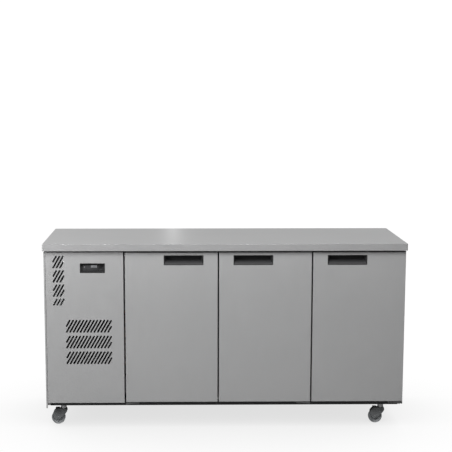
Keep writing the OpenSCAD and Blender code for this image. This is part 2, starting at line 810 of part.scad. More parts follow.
module evaporator_fan_motor() {
    x0 = evap_fan_x - 44;
    leg_r = 80;
    arm = [x0 + 18, x0 + 22];
    color(dark_grey) difference() {
        union() {
            bar_x([x0, evap_y, evap_z], 28, 22);
            for (a = [45 : 90 : 315]) translate([0, evap_y, evap_z]) rotate([a, 0, 0]) {
                block(arm, [-5, 5], [20, leg_r + 4]);
                bar_x([arm[0], 0, leg_r], 3, liner_x0 + 10.8 - arm[0]);
            }
        }
        bar_x([x0 + 4, evap_y, evap_z], 2.5 + run_gap, 22);
    }
}

module evaporator_fan() {
    blade_r = 68;
    color(black_plastic) {
        bar_x([evap_fan_x - 16, evap_y, evap_z], 16, 24);
        bar_x([evap_fan_x - 38, evap_y, evap_z], 2.5, 24);
        intersection() {
            bar_x([evap_fan_x - 16, evap_y, evap_z], blade_r, 24);
            for (k = [0 : 4]) translate([evap_fan_x - 4, evap_y, evap_z]) rotate([k*72, 0, 0])
                rotate([0, 0, -30]) translate([-1, -22, 12]) cube([2, 44, blade_r]);
        }
    }
}

// the cover over the evaporator inside the storage section, with its fan guard and return slots
module evaporator_cover() {
    x = [liner_x0, liner_x0 + 12];
    y = [evap_y - 158, evap_y + 158];
    z = [evap_z - 138, evap_z + 138];
    ring = 3;
    color(steel) {
        difference() {
            block(x, y, z);
            block([x[0] - e, x[1] - 1.2], [y[0] + 1.2, y[1] - 1.2], [z[0] + 1.2, z[1] - 1.2]);
            bar_x([x[0], evap_y, evap_z], 72, 20);
            translate([x[0], 0, 0]) rotate([90, 0, 90]) linear_extrude(20)
                for (s = [-1, 1], i = [0 : 8])
                    stroke([evap_y + s*118, evap_z - 96 + i*24], [evap_y + s*140, evap_z - 96 + i*24], 8);
        }
        for (r = [24, 42, 60]) difference() {
            bar_x([x[1] - 1.2, evap_y, evap_z], r, 1.2);
            bar_x([x[1] - 2*e, evap_y, evap_z], r - ring, 4*e);
        }
        for (a = [0, 90]) translate([0, evap_y, evap_z]) rotate([a + 45, 0, 0])
            block([x[1] - 1.2, x[1]], [-2, 2], [-73, 73]);
    }
}

// ---------- storage section ----------

function bay_x(i) = door_x(i) + door_w/2;

module shelf_supports() {
    post_t = 8;
    post_w = 20;
    post_gap = 1.5;
    clip = 11;
    color(steel) for (i = [0 : door_count - 1], s = [-1, 1], y = [shelf_y0 + 45, shelf_y0 + shelf_d - 65]) {
        a = bay_x(i) + s*(shelf_w/2 + post_gap);
        b = a + s*post_t;
        c = a - s*clip;
        difference() {
            block([min(a, b), max(a, b)], [y, y + post_w], [bay_z0, bay_z1]);
            for (k = [0 : 11]) block([min(a, b) - e, max(a, b) + e], [y + 7, y + 13],
                [bay_z0 + 40 + k*51, bay_z0 + 56 + k*51]);
        }
        block([min(a, c), max(a, c)], [y + 2, y + post_w - 2], [shelf_z - 2, shelf_z]);
    }
}

// a wire shelf: a bent rod frame, a cross rod and a row of thin wires on top
module shelf(i) {
    x0 = bay_x(i) - shelf_w/2;
    x1 = bay_x(i) + shelf_w/2;
    y0 = shelf_y0;
    y1 = shelf_y0 + shelf_d;
    r = shelf_rod;
    zc = shelf_z + r;
    corner = 14;
    wires = 9;
    color([0.80, 0.81, 0.82]) {
        for (x = [x0 + r, x1 - r]) bar_y([x, y0 + corner, zc], r, shelf_d - 2*corner);
        for (y = [y0 + r, y1 - r]) bar_x([x0 + corner, y, zc], r, shelf_w - 2*corner);
        for (q = [[x0, y0, 180], [x1, y0, 270], [x1, y1, 0], [x0, y1, 90]])
            translate([q[0] == x0 ? x0 + corner : x1 - corner, q[1] == y0 ? y0 + corner : y1 - corner, zc])
                rotate([0, 0, q[2]]) rotate_extrude(angle = 90) translate([corner - r, 0]) circle(r = r);
        bar_x([x0 + r, y0 + shelf_d/2, zc], r - 0.5, shelf_w - 2*r);
        for (k = [1 : wires]) bar_y([x0 + k*shelf_w/(wires + 1), y0 + r, zc + 2.2], wire_r, shelf_d - 2*r);
    }
}

// ---------- castors ----------

// boss, threaded stem and nut above, kingpin and its head below
module castor_mount() {
    gap = 0.2;                               // between the boss and the fork that turns under it
    nut = [10, 9];
    head = [7.5, 3];
    color(galvanised) {
        bar_z([0, 0, crown_z + gap], boss_r, castor_h - crown_z - gap);
        bar_z([0, 0, crown_z - 9], kingpin_r, 12);
        bar_z([0, 0, crown_z - 9.5], head[0], head[1]);
        bar_z([0, 0, castor_h - e], stem_r, 13 + e);
        translate([0, 0, castor_h + pan_t]) cylinder(r = nut[0], h = nut[1], $fn = 6);
    }
}

module castor_mounts() {
    for (x = castor_x, y = castor_y) translate([x, y, 0]) castor_mount();
}

// side plate: a head in front, a hood over the wheel's upper rear and an eye for the axle
module fork_side(braked) {
    hood_x = -castor_trail - 27;
    head = [[-17, crown_z], [head_x, crown_z], [head_x + 1.5, crown_z - 13], [head_x - 2, crown_z - 19]];
    lower = [[6, wheel_r + 15], [0, wheel_r + 8], [10 - castor_trail, wheel_r - 5],
        [-castor_trail - 12, wheel_r - 8]];
    hood = [[hood_x + 7, wheel_r - 3], [hood_x + 1, wheel_r + 15], [hood_x, wheel_r + 23],
        [hood_x + 2, wheel_r + 31], [hood_x + 9, wheel_r + 40], [hood_x + 19, crown_z - 2]];
    polygon(concat(head, lower, hood));
    translate([-castor_trail, wheel_r]) circle(r = 12);
    if (braked) translate([pedal_x, crown_z]) circle(r = 6);
}

// crown plate, two side plates and the riveted axle
module fork(braked) {
    out_y = plate_y + fork_t;
    color(dark_grey) difference() {
        union() {
            block([-17, head_x], [-out_y, out_y], [crown_z - 6, crown_z]);
            for (y = [-out_y, plate_y])
                translate([0, y + fork_t, 0]) rotate([90, 0, 0]) linear_extrude(fork_t) fork_side(braked);
            bar_y([-castor_trail, -out_y - 2, wheel_r], axle_r, 2*out_y + 4);
            for (y = [-out_y - 2, out_y]) bar_y([-castor_trail, y, wheel_r], axle_r + 2, 2);
        }
        bar_z([0, 0, crown_z - 7], kingpin_r + run_gap, 8);
        if (braked) bar_y([pedal_x, -out_y - 0.5, crown_z], pedal_pin_r + run_gap, 2*out_y + 1);
    }
}

// tyre and hub turned about the axle, with a hollow web on each side
module wheel() {
    edge_r = 2;
    bore_r = axle_r + run_gap;
    hub_r = 10;
    tyre_t = 9;
    color([0.32, 0.34, 0.35]) translate([-castor_trail, 0, wheel_r]) rotate([90, 0, 0]) difference() {
        rotate_extrude() {
            translate([bore_r, -wheel_w/2]) square([wheel_r - bore_r - edge_r, wheel_w]);
            translate([bore_r, edge_r - wheel_w/2]) square([wheel_r - bore_r, wheel_w - 2*edge_r]);
            for (y = [-1, 1]) intersection() {
                translate([wheel_r - edge_r, y*(wheel_w/2 - edge_r)]) circle(r = edge_r);
                translate([bore_r, -wheel_w/2]) square([wheel_r, wheel_w]);
            }
            translate([bore_r, -wheel_w/2 - 3]) square([hub_r - bore_r, wheel_w + 6]);
        }
        for (s = [-1, 1]) translate([0, 0, s*(wheel_w/2 + 0.5) - 2]) difference() {
            cylinder(r = wheel_r - tyre_t, h = 4);
            translate([0, 0, -e]) cylinder(r = hub_r + 2, h = 4 + 2*e);
        }
    }
}

// foot pedal with its pivot pin and the shoe that grips the wheel
module brake() {
    z = crown_z;
    pedal = [pedal_x - 17, pedal_x];
    shoe = [pedal_x - 16, pedal_x - 10];
    shoe_drop = 9.4;                         // short of the wheel until the pedal is down
    pin_y = plate_y + fork_t;
    color(black_plastic) {
        bar_y([pedal_x, -12, z], 2*pedal_pin_r, 24);
        bar_y([pedal_x, -pin_y, z], pedal_pin_r, 2*pin_y);
        block(pedal, [-12, 12], [z - 3, z + 3.5]);
        block(shoe, [-9, 9], [z - shoe_drop, z - 2]);
    }
}

// puts a castor's moving piece under its swivel; right and rear are 0 or 1
module at_castor(right, rear) {
    translate([castor_x[right], castor_y[rear], 0]) children();
}

// ---------- what is drawn ----------

worktop();
side_panels();
back_panel();
base_pan();
bulkhead();
inner_liner();
body_foam();
front_frame();
mullions();
hinge_brackets();
front_panel();
controller_bezel();
controller_body();
unit_tray();
compressor();
condenser();
condenser_fan_motor();
refrigerant_pipes();
electrical_box();
rear_grille();
power_cord();
evaporator_coil();
evaporator_fan_motor();
evaporator_cover();
shelf_supports();
castor_mounts();
button(0);  // button_1
button(1);  // button_2
button(2);  // button_3
power_rocker();
condenser_fan();
evaporator_fan();
shelf(0);  // shelf_1
shelf(1);  // shelf_2
shelf(2);  // shelf_3
door_skin(0);  // door_1_skin
door_foam(0);  // door_1_foam
door_liner(0);  // door_1_liner
door_handle(0);  // door_1_handle
door_gasket(0);  // door_1_gasket
door_skin(1);  // door_2_skin
door_foam(1);  // door_2_foam
door_liner(1);  // door_2_liner
door_handle(1);  // door_2_handle
door_gasket(1);  // door_2_gasket
door_skin(2);  // door_3_skin
door_foam(2);  // door_3_foam
door_liner(2);  // door_3_liner
door_handle(2);  // door_3_handle
door_gasket(2);  // door_3_gasket
at_castor(0, 0) fork(true);  // fork_front_left
at_castor(1, 0) fork(true);  // fork_front_right
at_castor(0, 1) fork(false);  // fork_rear_left
at_castor(1, 1) fork(false);  // fork_rear_right
at_castor(0, 0) wheel();  // wheel_front_left
at_castor(1, 0) wheel();  // wheel_front_right
at_castor(0, 1) wheel();  // wheel_rear_left
at_castor(1, 1) wheel();  // wheel_rear_right
at_castor(0, 0) brake();  // brake_front_left
at_castor(1, 0) brake();  // brake_front_right
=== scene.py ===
import json
import math

import bmesh
import bpy
from mathutils import Matrix, Vector


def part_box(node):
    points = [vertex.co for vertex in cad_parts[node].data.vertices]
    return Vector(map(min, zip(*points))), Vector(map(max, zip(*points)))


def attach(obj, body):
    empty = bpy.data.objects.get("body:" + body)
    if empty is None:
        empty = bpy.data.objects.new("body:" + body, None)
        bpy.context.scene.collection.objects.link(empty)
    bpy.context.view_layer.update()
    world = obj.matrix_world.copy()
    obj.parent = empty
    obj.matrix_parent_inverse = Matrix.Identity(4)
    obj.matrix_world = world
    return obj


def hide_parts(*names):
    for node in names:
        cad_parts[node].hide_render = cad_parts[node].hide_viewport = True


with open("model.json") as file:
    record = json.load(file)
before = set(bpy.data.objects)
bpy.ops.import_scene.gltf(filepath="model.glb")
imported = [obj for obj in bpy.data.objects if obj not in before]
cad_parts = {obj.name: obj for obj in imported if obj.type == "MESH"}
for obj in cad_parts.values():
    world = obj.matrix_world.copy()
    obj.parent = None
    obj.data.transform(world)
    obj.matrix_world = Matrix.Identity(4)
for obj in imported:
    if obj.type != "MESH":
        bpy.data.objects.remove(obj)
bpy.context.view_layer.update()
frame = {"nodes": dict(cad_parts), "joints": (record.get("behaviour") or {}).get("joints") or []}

# Looks of a three-door under counter fridge. Shapes are worked out in millimetres from the boxes
# of the frame's nodes and the places of its joints, and turned into metres when a piece is made.
MM = 0.001
NUMBERS = (1, 2, 3)  # of the doors, of the shelves and of the keys
CASTORS = ("front_left", "front_right", "rear_left", "rear_right")
SHEET = 1.2  # thickness of the outer sheets


def corners(node):
    """Lowest and highest corner of a node, in millimetres."""
    return [[c / MM for c in corner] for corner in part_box(node)]


def front_view(node):
    """A node's box seen from the front, (x0, x1, z0, z1), and the y of its front and its back."""
    lo, hi = corners(node)
    return (lo[0], hi[0], lo[2], hi[2]), lo[1], hi[1]


def joint_place(name):
    """Where a joint's axis passes, in millimetres."""
    return [c / MM for joint in frame["joints"] if joint["name"] == name for c in joint["pos_m"]]


# -------- shapes
# A shape is (points, faces) in millimetres, always a closed surface or several. A box is
# (u0, u1, v0, v1), and an axis says which way a flat outline of (u, v) points faces.

PLACE = {
    "x": lambda u, v, d: (d, u, v),
    "y": lambda u, v, d: (u, d, v),
    "z": lambda u, v, d: (u, v, d),
}


def merged(*shapes):
    """Several shapes as one."""
    points, faces = [], []
    for p, f in shapes:
        base = len(points)
        points += p
        faces += [tuple(i + base for i in face) for face in f]
    return points, faces


def moved(shape, offset, axis="x", degrees=0):
    """A shape turned about an axis through the origin, then shifted."""
    turn = Matrix.Rotation(math.radians(degrees), 3, axis.upper())
    return [tuple(turn @ Vector(p) + Vector(offset)) for p in shape[0]], shape[1]


def skin(rings, loop=False):
    """A surface through rings of equal length; capped at its ends, or joined end to end."""
    n, count = len(rings[0]), len(rings)
    faces = []
    for k in range(count if loop else count - 1):
        a, b = k * n, (k + 1) % count * n
        faces += [(a + i, a + (i + 1) % n, b + (i + 1) % n, b + i) for i in range(n)]
    if not loop:
        faces += [tuple(reversed(range(n))), tuple(range((count - 1) * n, count * n))]
    return [p for ring in rings for p in ring], faces


def arc(centre, r, a0, a1, steps=6):
    """Points of an arc, in degrees."""
    angles = (math.radians(a0 + (a1 - a0) * k / steps) for k in range(steps + 1))
    return [(centre[0] + r * math.cos(a), centre[1] + r * math.sin(a)) for a in angles]


def circle(steps):
    """The angles of points round a full circle."""
    return [2 * math.pi * k / steps for k in range(steps)]


def shrunk(box, by):
    """A box made smaller on every side."""
    return box[0] + by, box[1] - by, box[2] + by, box[3] - by


def round_rect(box, r, steps=4):
    """Outline of a box with round corners."""
    u0, u1, v0, v1 = box
    r = max(min(r, (u1 - u0) / 2 - 0.01, (v1 - v0) / 2 - 0.01), 0.02)
    centres = ((u1 - r, v0 + r, -90), (u1 - r, v1 - r, 0), (u0 + r, v1 - r, 90), (u0 + r, v0 + r, 180))
    return [p for u, v, start in centres for p in arc((u, v), r, start, start + 90, steps)]


def layer(outline, depth, axis="y"):
    """An outline at a depth along an axis."""
    return [PLACE[axis](u, v, depth) for u, v in outline]


def prism(outline, d0, d1, axis="y"):
    """An outline drawn along an axis."""
    return skin([layer(outline, d, axis) for d in (d0, d1)])


def rect_loft(box, stations, axis="y", corner=2.0, loop=False, steps=4):
    """A loft of rectangles. Each station is (inset, depth): the box shrunk by the inset, at that
    depth. An inset may be four numbers, one for each side."""
    rings = []
    for inset, depth in stations:
        i = inset if isinstance(inset, tuple) else (inset,) * 4
        smaller = (box[0] + i[0], box[1] - i[1], box[2] + i[2], box[3] - i[3])
        rings.append(layer(round_rect(smaller, max(corner - min(i), 0.3), steps), depth, axis))
    return skin(rings, loop)


def block(x, y, z):
    """A plain block by its limits; softened() gives it its edges."""
    return prism([(x[0], z[0]), (x[1], z[0]), (x[1], z[1]), (x[0], z[1])], y[0], y[1])


def lathe(profile, centre, axis="z", steps=48, loop=False):
    """A profile of (radius, height) points turned about an axis through a point."""
    rings = []
    for r, h in profile:
        flat = layer([(r * math.cos(a), r * math.sin(a)) for a in circle(steps)], h, axis)
        rings.append([tuple(map(sum, zip(p, centre))) for p in flat])
    return skin(rings, loop)


def hoop(centre, side, other, r, steps):
    """A circle of points in the plane of two directions."""
    return [tuple(centre + side * (r * math.cos(t)) + other * (r * math.sin(t))) for t in circle(steps)]


def rod(a, b, r, steps=16, edge=0.0):
    """A round bar between two points, with its end edges rounded."""
    a, b = Vector(a), Vector(b)
    way, length = (b - a).normalized(), (b - a).length
    side = way.orthogonal().normalized()
    stations = [(r - edge, 0), (r - 0.3 * edge, 0.3 * edge), (r, edge)] if edge else [(r, 0)]
    stations += [(q, length - s) for q, s in reversed(stations)]
    return skin([hoop(a + way * s, side, way.cross(side), q, steps) for q, s in stations])


def bend(before, corner, after, radius, steps, share):
    """Points round a corner; the bend takes up to a share of each side."""
    u, v = before - corner, after - corner
    cut = min(radius, u.length * share, v.length * share)
    a, b = corner + u.normalized() * cut, corner + v.normalized() * cut
    shares = [k / steps for k in range(steps + 1)]
    return [a * (1 - t) ** 2 + corner * 2 * t * (1 - t) + b * t ** 2 for t in shares]


def bent_path(points, radius):
    """Rounds the corners of a path of points."""
    pts = [Vector(p) for p in points]
    bends = [q for three in zip(pts, pts[1:], pts[2:]) for q in bend(*three, radius, 6, 0.48)]
    return [pts[0], *bends, pts[-1]]


def rounded(outline, radius):
    """A closed outline with its corners rounded."""
    pts = [Vector(p) for p in outline]
    threes = zip(pts[-1:] + pts, pts, pts[1:] + pts[:1])
    return [tuple(q) for three in threes for q in bend(*three, radius, 3, 0.45)]


def tube(points, r, sides=12):
    """A tube along a path, without twisting."""
    pts = [Vector(p) for p in points]
    ways = [(b - a).normalized() for a, b in zip(pts, pts[1:])]
    side = ways[0].orthogonal().normalized()
    rings = []
    for before, p, after in zip(ways[:1] + ways, pts, ways + ways[-1:]):
        way = (before + after).normalized()
        side = (side - way * side.dot(way)).normalized()
        rings.append(hoop(p, side, way.cross(side), r, sides))
    return skin(rings)


def as_bmesh(shape):
    bm = bmesh.new()
    verts = [bm.verts.new(p) for p in shape[0]]
    for face in shape[1]:
        bm.faces.new([verts[i] for i in face])
    bmesh.ops.recalc_face_normals(bm, faces=bm.faces)
    bm.verts.index_update()
    return bm


def add_object(name, data):
    """A new object in the scene."""
    o = bpy.data.objects.new(name, data)
    bpy.context.scene.collection.objects.link(o)
    return o


def add_mesh(name, bm):
    """A new object from a bmesh, which is used up."""
    mesh = bpy.data.meshes.new(name)
    bm.to_mesh(mesh)
    bm.free()
    return add_object(name, mesh)


def softened(shape, width, steps=2):
    """A shape with its sharp edges rounded."""
    bm = as_bmesh(shape)
    sharp = [e for e in bm.edges if e.is_manifold and e.calc_face_angle(0) > math.radians(35)]
    bmesh.ops.bevel(bm, geom=sharp, offset=width, offset_type="OFFSET", segments=steps, profile=0.5,
                    affect="EDGES", clamp_overlap=True)
    bm.verts.index_update()
    out = [tuple(v.co) for v in bm.verts], [tuple(v.index for v in f.verts) for f in bm.faces]
    bm.free()
    return out


def without(shape, *cutters):
    """A shape with other closed shapes cut away."""
    made = [add_mesh("cutting", as_bmesh(s)) for s in (shape, merged(*cutters))]
    cut = made[0].modifiers.new("cut", "BOOLEAN")
    cut.operation, cut.solver, cut.object = "DIFFERENCE", "EXACT", made[1]
    evaluated = made[0].evaluated_get(bpy.context.evaluated_depsgraph_get())
    mesh = evaluated.to_mesh()
    out = [tuple(v.co) for v in mesh.vertices], [tuple(p.vertices) for p in mesh.polygons]
    evaluated.to_mesh_clear()
    for o in made:
        data = o.data
        bpy.data.objects.remove(o)
        bpy.data.meshes.remove(data)
    return out


def piece(name, body, slot, material, *shapes, replaces=None):
    """Makes a piece from shapes in millimetres. It rides on a body and may stand for a CAD node."""
    bm = as_bmesh(merged(*shapes))
    for f in bm.faces:
        f.smooth = True
    for e in bm.edges:
        e.smooth = e.is_manifold and e.calc_face_angle(0) < math.radians(32)
    bm.transform(Matrix.Scale(MM, 4))
    o = add_mesh(name, bm)
    o.data.materials.append(material)
    flat = o.modifiers.new("flat_faces", "WEIGHTED_NORMAL")
    flat.keep_sharp = True
    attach(o, body)
    if replaces:
        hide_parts(replaces)


def carry(node, material, edge=0.0):
    """A CAD node that stays: its material, and a small radius on its edges."""
    o = frame["nodes"][node]
    o.data.materials.clear()
    o.data.materials.append(material)
    if edge > 0:
        weld = o.modifiers.new("weld", "WELD")
        weld.merge_threshold = 1e-6
        bevel = o.modifiers.new("edges", "BEVEL")
        bevel.width = edge * MM
        bevel.segments = 2
        bevel.limit_method = "ANGLE"
        bevel.angle_limit = math.radians(40)


# -------- materials

WHITE = (1.0, 1.0, 1.0)


class Nodes:
    """A node tree. An input takes an output, a number, or a colour as three numbers."""

    def __init__(self, tree):
        self.tree = tree

    def feed(self, value, socket):
        if isinstance(value, bpy.types.NodeSocket):
            self.tree.links.new(value, socket)
        else:
            socket.default_value = (*value, 1) if isinstance(value, tuple) else value

    def node(self, kind, output, inputs=(), **settings):
        """Adds a node with its inputs and settings, and gives one of its outputs."""
        n = self.tree.nodes.new(kind)
        for key, value in settings.items():
            setattr(n, key, value)
        for key, value in dict(inputs).items():
            self.feed(value, n.inputs[key])
        return n.outputs[output]

    def math(self, operation, a, b):
        return self.node("ShaderNodeMath", 0, {0: a, 1: b}, operation=operation)

    def mix(self, factor, a, b, blend="MIX"):
        return self.node("ShaderNodeMix", 2, {0: factor, 6: a, 7: b}, data_type="RGBA", blend_type=blend)

    def ranged(self, value, low, high, from_low=0.0, from_high=1.0):
        limits = {"From Min": from_low, "From Max": from_high, "To Min": low, "To Max": high}
        return self.node("ShaderNodeMapRange", "Result", {"Value": value, **limits})

    def open_sky(self, reach, samples):
        """How little stands near the surface: 1 where nothing is within reach, in metres."""
        return self.node("ShaderNodeAmbientOcclusion", "AO", {"Distance": reach}, samples=samples)


class Shader(Nodes):
    """A material with a Principled shader, patterned in the object's own space."""

    def __init__(self, name, color, metallic, roughness):
        self.material = bpy.data.materials.new(name)
        self.material.use_nodes = True
        super().__init__(self.material.node_tree)
        self.place = self.node("ShaderNodeTexCoord", "Object")
        self.set("Base Color", color)
        self.set("Metallic", metallic)
        self.set("Roughness", roughness)

    def set(self, name, value):
        self.feed(value, self.tree.nodes["Principled BSDF"].inputs[name])

    def noise(self, scale, detail=3.0, stretch=None):
        place = self.place
        if stretch:
            place = self.node("ShaderNodeMapping", "Vector", {"Vector": place, "Scale": stretch})
        inputs = {"Scale": scale, "Detail": detail, "Roughness": 0.55, "Vector": place}
        return self.node("ShaderNodeTexNoise", "Fac", inputs)

    def cells(self, scale, output="Distance"):
        return self.node("ShaderNodeTexVoronoi", output, {"Scale": scale, "Vector": self.place})

    def blend(self, a, b, share):
        """Two patterns added up, with a share of the second."""
        return self.math("ADD", self.math("MULTIPLY", a, 1 - share), self.math("MULTIPLY", b, share))

    def tinted(self, pattern, low, high, dark, light):
        """A colour between dark and light as a pattern goes from low to high."""
        return self.mix(self.ranged(pattern, 0, 1, low, high), dark, light)

    def worn(self, color, edge_color, radius, amount):
        """Paler edges, found by comparing the surface with a rounded copy of itself."""
        bevel = self.node("ShaderNodeBevel", "Normal", {"Radius": radius}, samples=4)
        true = self.node("ShaderNodeNewGeometry", "True Normal")
        same = self.node("ShaderNodeVectorMath", "Value", {0: bevel, 1: true}, operation="DOT_PRODUCT")
        edge = self.ranged(same, amount, 0.0, 0.75, 0.98)
        patchy = self.math("MULTIPLY", edge, self.ranged(self.noise(90.0), 0.2, 1.4))
        return self.mix(patchy, color, edge_color)

    def painted_crevice_shade(self, color, reach=0.008):
        """Painted shade: darker where another surface is close by, in gaps, folds and slots."""
        shade = self.tinted(self.open_sky(reach, 6), 0.2, 0.6, (0.04,) * 3, WHITE)
        return self.mix(1.0, color, shade, "MULTIPLY")

    def bump(self, height, strength, depth):
        inputs = {"Height": height, "Strength": strength, "Distance": depth}
        self.set("Normal", self.node("ShaderNodeBump", "Normal", inputs))


def scaled(color, by, plus=0.0):
    """A colour made lighter or darker."""
    return tuple(min(c * by + plus, 1) for c in color)


def brushed(name, along, tone=0.425, roughness=0.42, reach=0.008):
    """Satin sheet with its grain along x, y or z, with painted shade within reach of another surface."""
    m = Shader(name, (tone,) * 3, 1.0, roughness)
    grain = m.noise(1.0, 2.0, [9.0 if a == along else 1400.0 for a in "xyz"])
    wiped = m.noise(1.0, 3.0, [16.0 if a == along else 46.0 for a in "xyz"])
    dark, light = (tuple(tone * c for c in tint) for tint in ((0.955, 0.96, 0.965), (1.035, 1.035, 1.04)))
    base = m.tinted(m.blend(grain, m.noise(2.3, 4.0), 0.5), 0.3, 0.7, dark, light)
    # Painted shade: the grain's colour is darkened where other surfaces are close by.
    m.set("Base Color", m.painted_crevice_shade(base, reach))
    uneven = m.ranged(wiped, roughness - 0.015, roughness + 0.02)
    m.set("Roughness", m.math("ADD", m.ranged(grain, -0.05, 0.05), uneven))
    m.bump(grain, 0.18, 0.00004)
    return m.material


def zinc(name):
    """Galvanised sheet with its spangle, and painted shade where other surfaces are close by."""
    m = Shader(name, (0.42, 0.43, 0.44), 1.0, 0.5)
    flake = m.node("ShaderNodeSeparateColor", 0, {0: m.cells(85.0, "Color")})
    haze = m.noise(14.0, 4.0)
    m.set("Base Color", m.painted_crevice_shade(m.mix(m.blend(flake, haze, 0.4), (0.33, 0.34, 0.355), (0.50, 0.51, 0.53))))
    m.set("Roughness", m.ranged(flake, 0.38, 0.58))
    m.bump(haze, 0.2, 0.0001)
    return m.material


def moulded(name, color, roughness=0.42, worn=0.1, gloss=0.5):
    """Moulded plastic with a fine eroded surface."""
    m = Shader(name, color, 0.0, roughness)
    hands = m.noise(22.0)
    base = m.tinted(hands, 0.35, 0.65, scaled(color, 0.88), scaled(color, 1.15))
    m.set("Base Color", m.worn(base, scaled(color, 2.2, 0.01), 0.0008, worn))
    m.set("Roughness", m.ranged(hands, roughness - 0.05, roughness + 0.07, 0.3, 0.7))
    m.set("Specular IOR Level", gloss)
    m.bump(m.noise(1100.0, 2.0), 0.22, 0.00008)
    return m.material


def rubber(name, color):
    m = Shader(name, color, 0.0, 0.62)
    dust = m.noise(60.0, 5.0)
    m.set("Base Color", m.tinted(dust, 0.35, 0.75, color, scaled(color, 1.9, 0.01)))
    m.set("Roughness", m.ranged(dust, 0.55, 0.75))
    m.bump(m.noise(900.0, 2.0), 0.15, 0.0001)
    return m.material


def enamel(name, color, roughness=0.32, coat=0.35):
    """Enamelled steel with a slight orange peel."""
    m = Shader(name, color, 0.0, roughness)
    m.set("Base Color", m.worn(color, (0.16, 0.16, 0.17), 0.0012, 0.5))
    m.set("Roughness", m.ranged(m.noise(18.0), roughness - 0.06, roughness + 0.12))
    m.set("Coat Weight", coat)
    m.set("Coat Roughness", 0.2)
    m.bump(m.noise(260.0, 2.0), 0.12, 0.0002)
    return m.material


def coated(name, color, roughness=0.5):
    """Dark powder coat on castor steel, cooler where it is thin."""
    m = Shader(name, color, 0.35, roughness)
    grit = m.noise(700.0)
    base = m.tinted(m.noise(40.0, 4.0), 0.3, 0.7, scaled(color, 0.85), scaled(color, 1.12))
    m.set("Base Color", m.worn(base, (0.28, 0.29, 0.30), 0.0007, 0.45))
    m.set("Roughness", m.ranged(grit, roughness - 0.06, roughness + 0.08))
    m.bump(grit, 0.2, 0.00012)
    return m.material


def copper(name):
    m = Shader(name, (0.72, 0.36, 0.22), 1.0, 0.3)
    stain = m.noise(36.0, 5.0)
    m.set("Base Color", m.tinted(stain, 0.42, 0.68, (0.76, 0.40, 0.25), (0.30, 0.14, 0.09)))
    m.set("Roughness", m.ranged(stain, 0.22, 0.5, 0.35, 0.7))
    m.bump(m.noise(240.0, 2.0), 0.1, 0.0001)
    return m.material


def fins(name, clean, dusty):
    """Thin aluminium fins, bare or coated, with a little dust."""
    m = Shader(name, clean, 1.0, 0.38)
    dust = m.noise(30.0, 5.0)
    m.set("Base Color", m.tinted(dust, 0.4, 0.75, clean, dusty))
    m.set("Roughness", m.ranged(dust, 0.3, 0.6, 0.35, 0.75))
    m.bump(m.noise(500.0, 2.0), 0.12, 0.0001)
    return m.material


def foam(name):
    """Rigid polyurethane foam: cream, with fine open cells where it is cut."""
    m = Shader(name, (0.80, 0.70, 0.42), 0.0, 0.9)
    m.set("Base Color", m.mix(m.noise(25.0, 5.0), (0.70, 0.58, 0.30), (0.88, 0.80, 0.54)))
    m.bump(m.cells(450.0), 0.5, 0.0006)
    return m.material


def glossy(name, color, roughness):
    """The controller's smoked window."""
    m = Shader(name, color, 0.0, roughness)
    smear = m.noise(60.0, 4.0)
    m.set("Base Color", m.mix(smear, scaled(color, 0.8), scaled(color, 1.3)))
    m.set("Roughness", m.ranged(smear, roughness - 0.05, roughness + 0.12, 0.3, 0.8))
    m.set("Specular IOR Level", 0.8)
    m.bump(m.noise(30.0, 1.0), 0.03, 0.0002)
    return m.material


STEEL_Z = brushed("steel_grain_along_z", "z")
STEEL_TOP = brushed("worktop_steel", "x", tone=0.52, roughness=0.36)
STEEL_INNER = brushed("liner_steel", "z", tone=0.50, roughness=0.36)
# Its wide reach paints shade over the frame and mullions behind the door gaps.
STEEL_FRAME = brushed("frame_steel_painted_shade", "z", tone=0.50, roughness=0.36, reach=0.05)
WIRE = brushed("shelf_wire_steel", "y", tone=0.62, roughness=0.26)
# Near-black tone: painted shade over the hinge brackets, which sit in shadow under the doors.
BRACKET_PAINTED_SHADE = brushed("bracket_steel_painted_shade", "x", tone=0.10, roughness=0.45)
PLATED = brushed("plated_steel", "z", tone=0.34, roughness=0.3)
SCREW = brushed("screw_steel", "z", tone=0.5, roughness=0.3)
ZINC = zinc("galvanised_sheet")
BLACK = moulded("black_plastic", (0.011, 0.011, 0.0115), 0.6, gloss=0.15)
KEYS = moulded("key_plastic", (0.004, 0.004, 0.0045), 0.5, gloss=0.25)
FACE = moulded("controller_plastic", (0.014, 0.014, 0.015), 0.45, gloss=0.2)
BOX = moulded("grey_box_plastic", (0.55, 0.56, 0.57), 0.48)
WHEEL = moulded("castor_tyre", (0.085, 0.089, 0.092), 0.5, worn=0.3)
PEDAL = moulded("brake_plastic", (0.02, 0.02, 0.021), 0.45, worn=0.25)
# Grey rather than near-black: a painted reflection on the smoked window; the sensor eye shares it.
WINDOW_PAINTED_REFLECTION = glossy("smoked_window_painted_reflection", (0.075, 0.076, 0.080), 0.22)
SEAL = rubber("gasket_rubber", (0.03, 0.03, 0.032))
CORD = rubber("cord_rubber", (0.018, 0.018, 0.019))
ENAMEL = enamel("compressor_enamel", (0.010, 0.010, 0.011))
# Near-black enamel on the base pan, dark enough to also paint in the shade under the doors.
PAN_BLACK_AND_PAINTED_SHADE = enamel("pan_enamel_painted_shade", (0.006, 0.006, 0.007), 0.6, 0.0)
MOTOR = enamel("motor_enamel", (0.055, 0.057, 0.060), 0.42)
COPPER = copper("copper_pipe")
FINS = fins("aluminium_fins", (0.68, 0.69, 0.71), (0.42, 0.41, 0.40))
# Dark coated fins, dark enough to paint in the shade seen through the louvres.
DARK_FINS_PAINTED_SHADE = fins("coated_fins_painted_shade", (0.03, 0.031, 0.033), (0.07, 0.068, 0.065))
FOAM = foam("insulation_foam")
FORK = coated("castor_steel", (0.075, 0.078, 0.080))


# -------- sheet metal

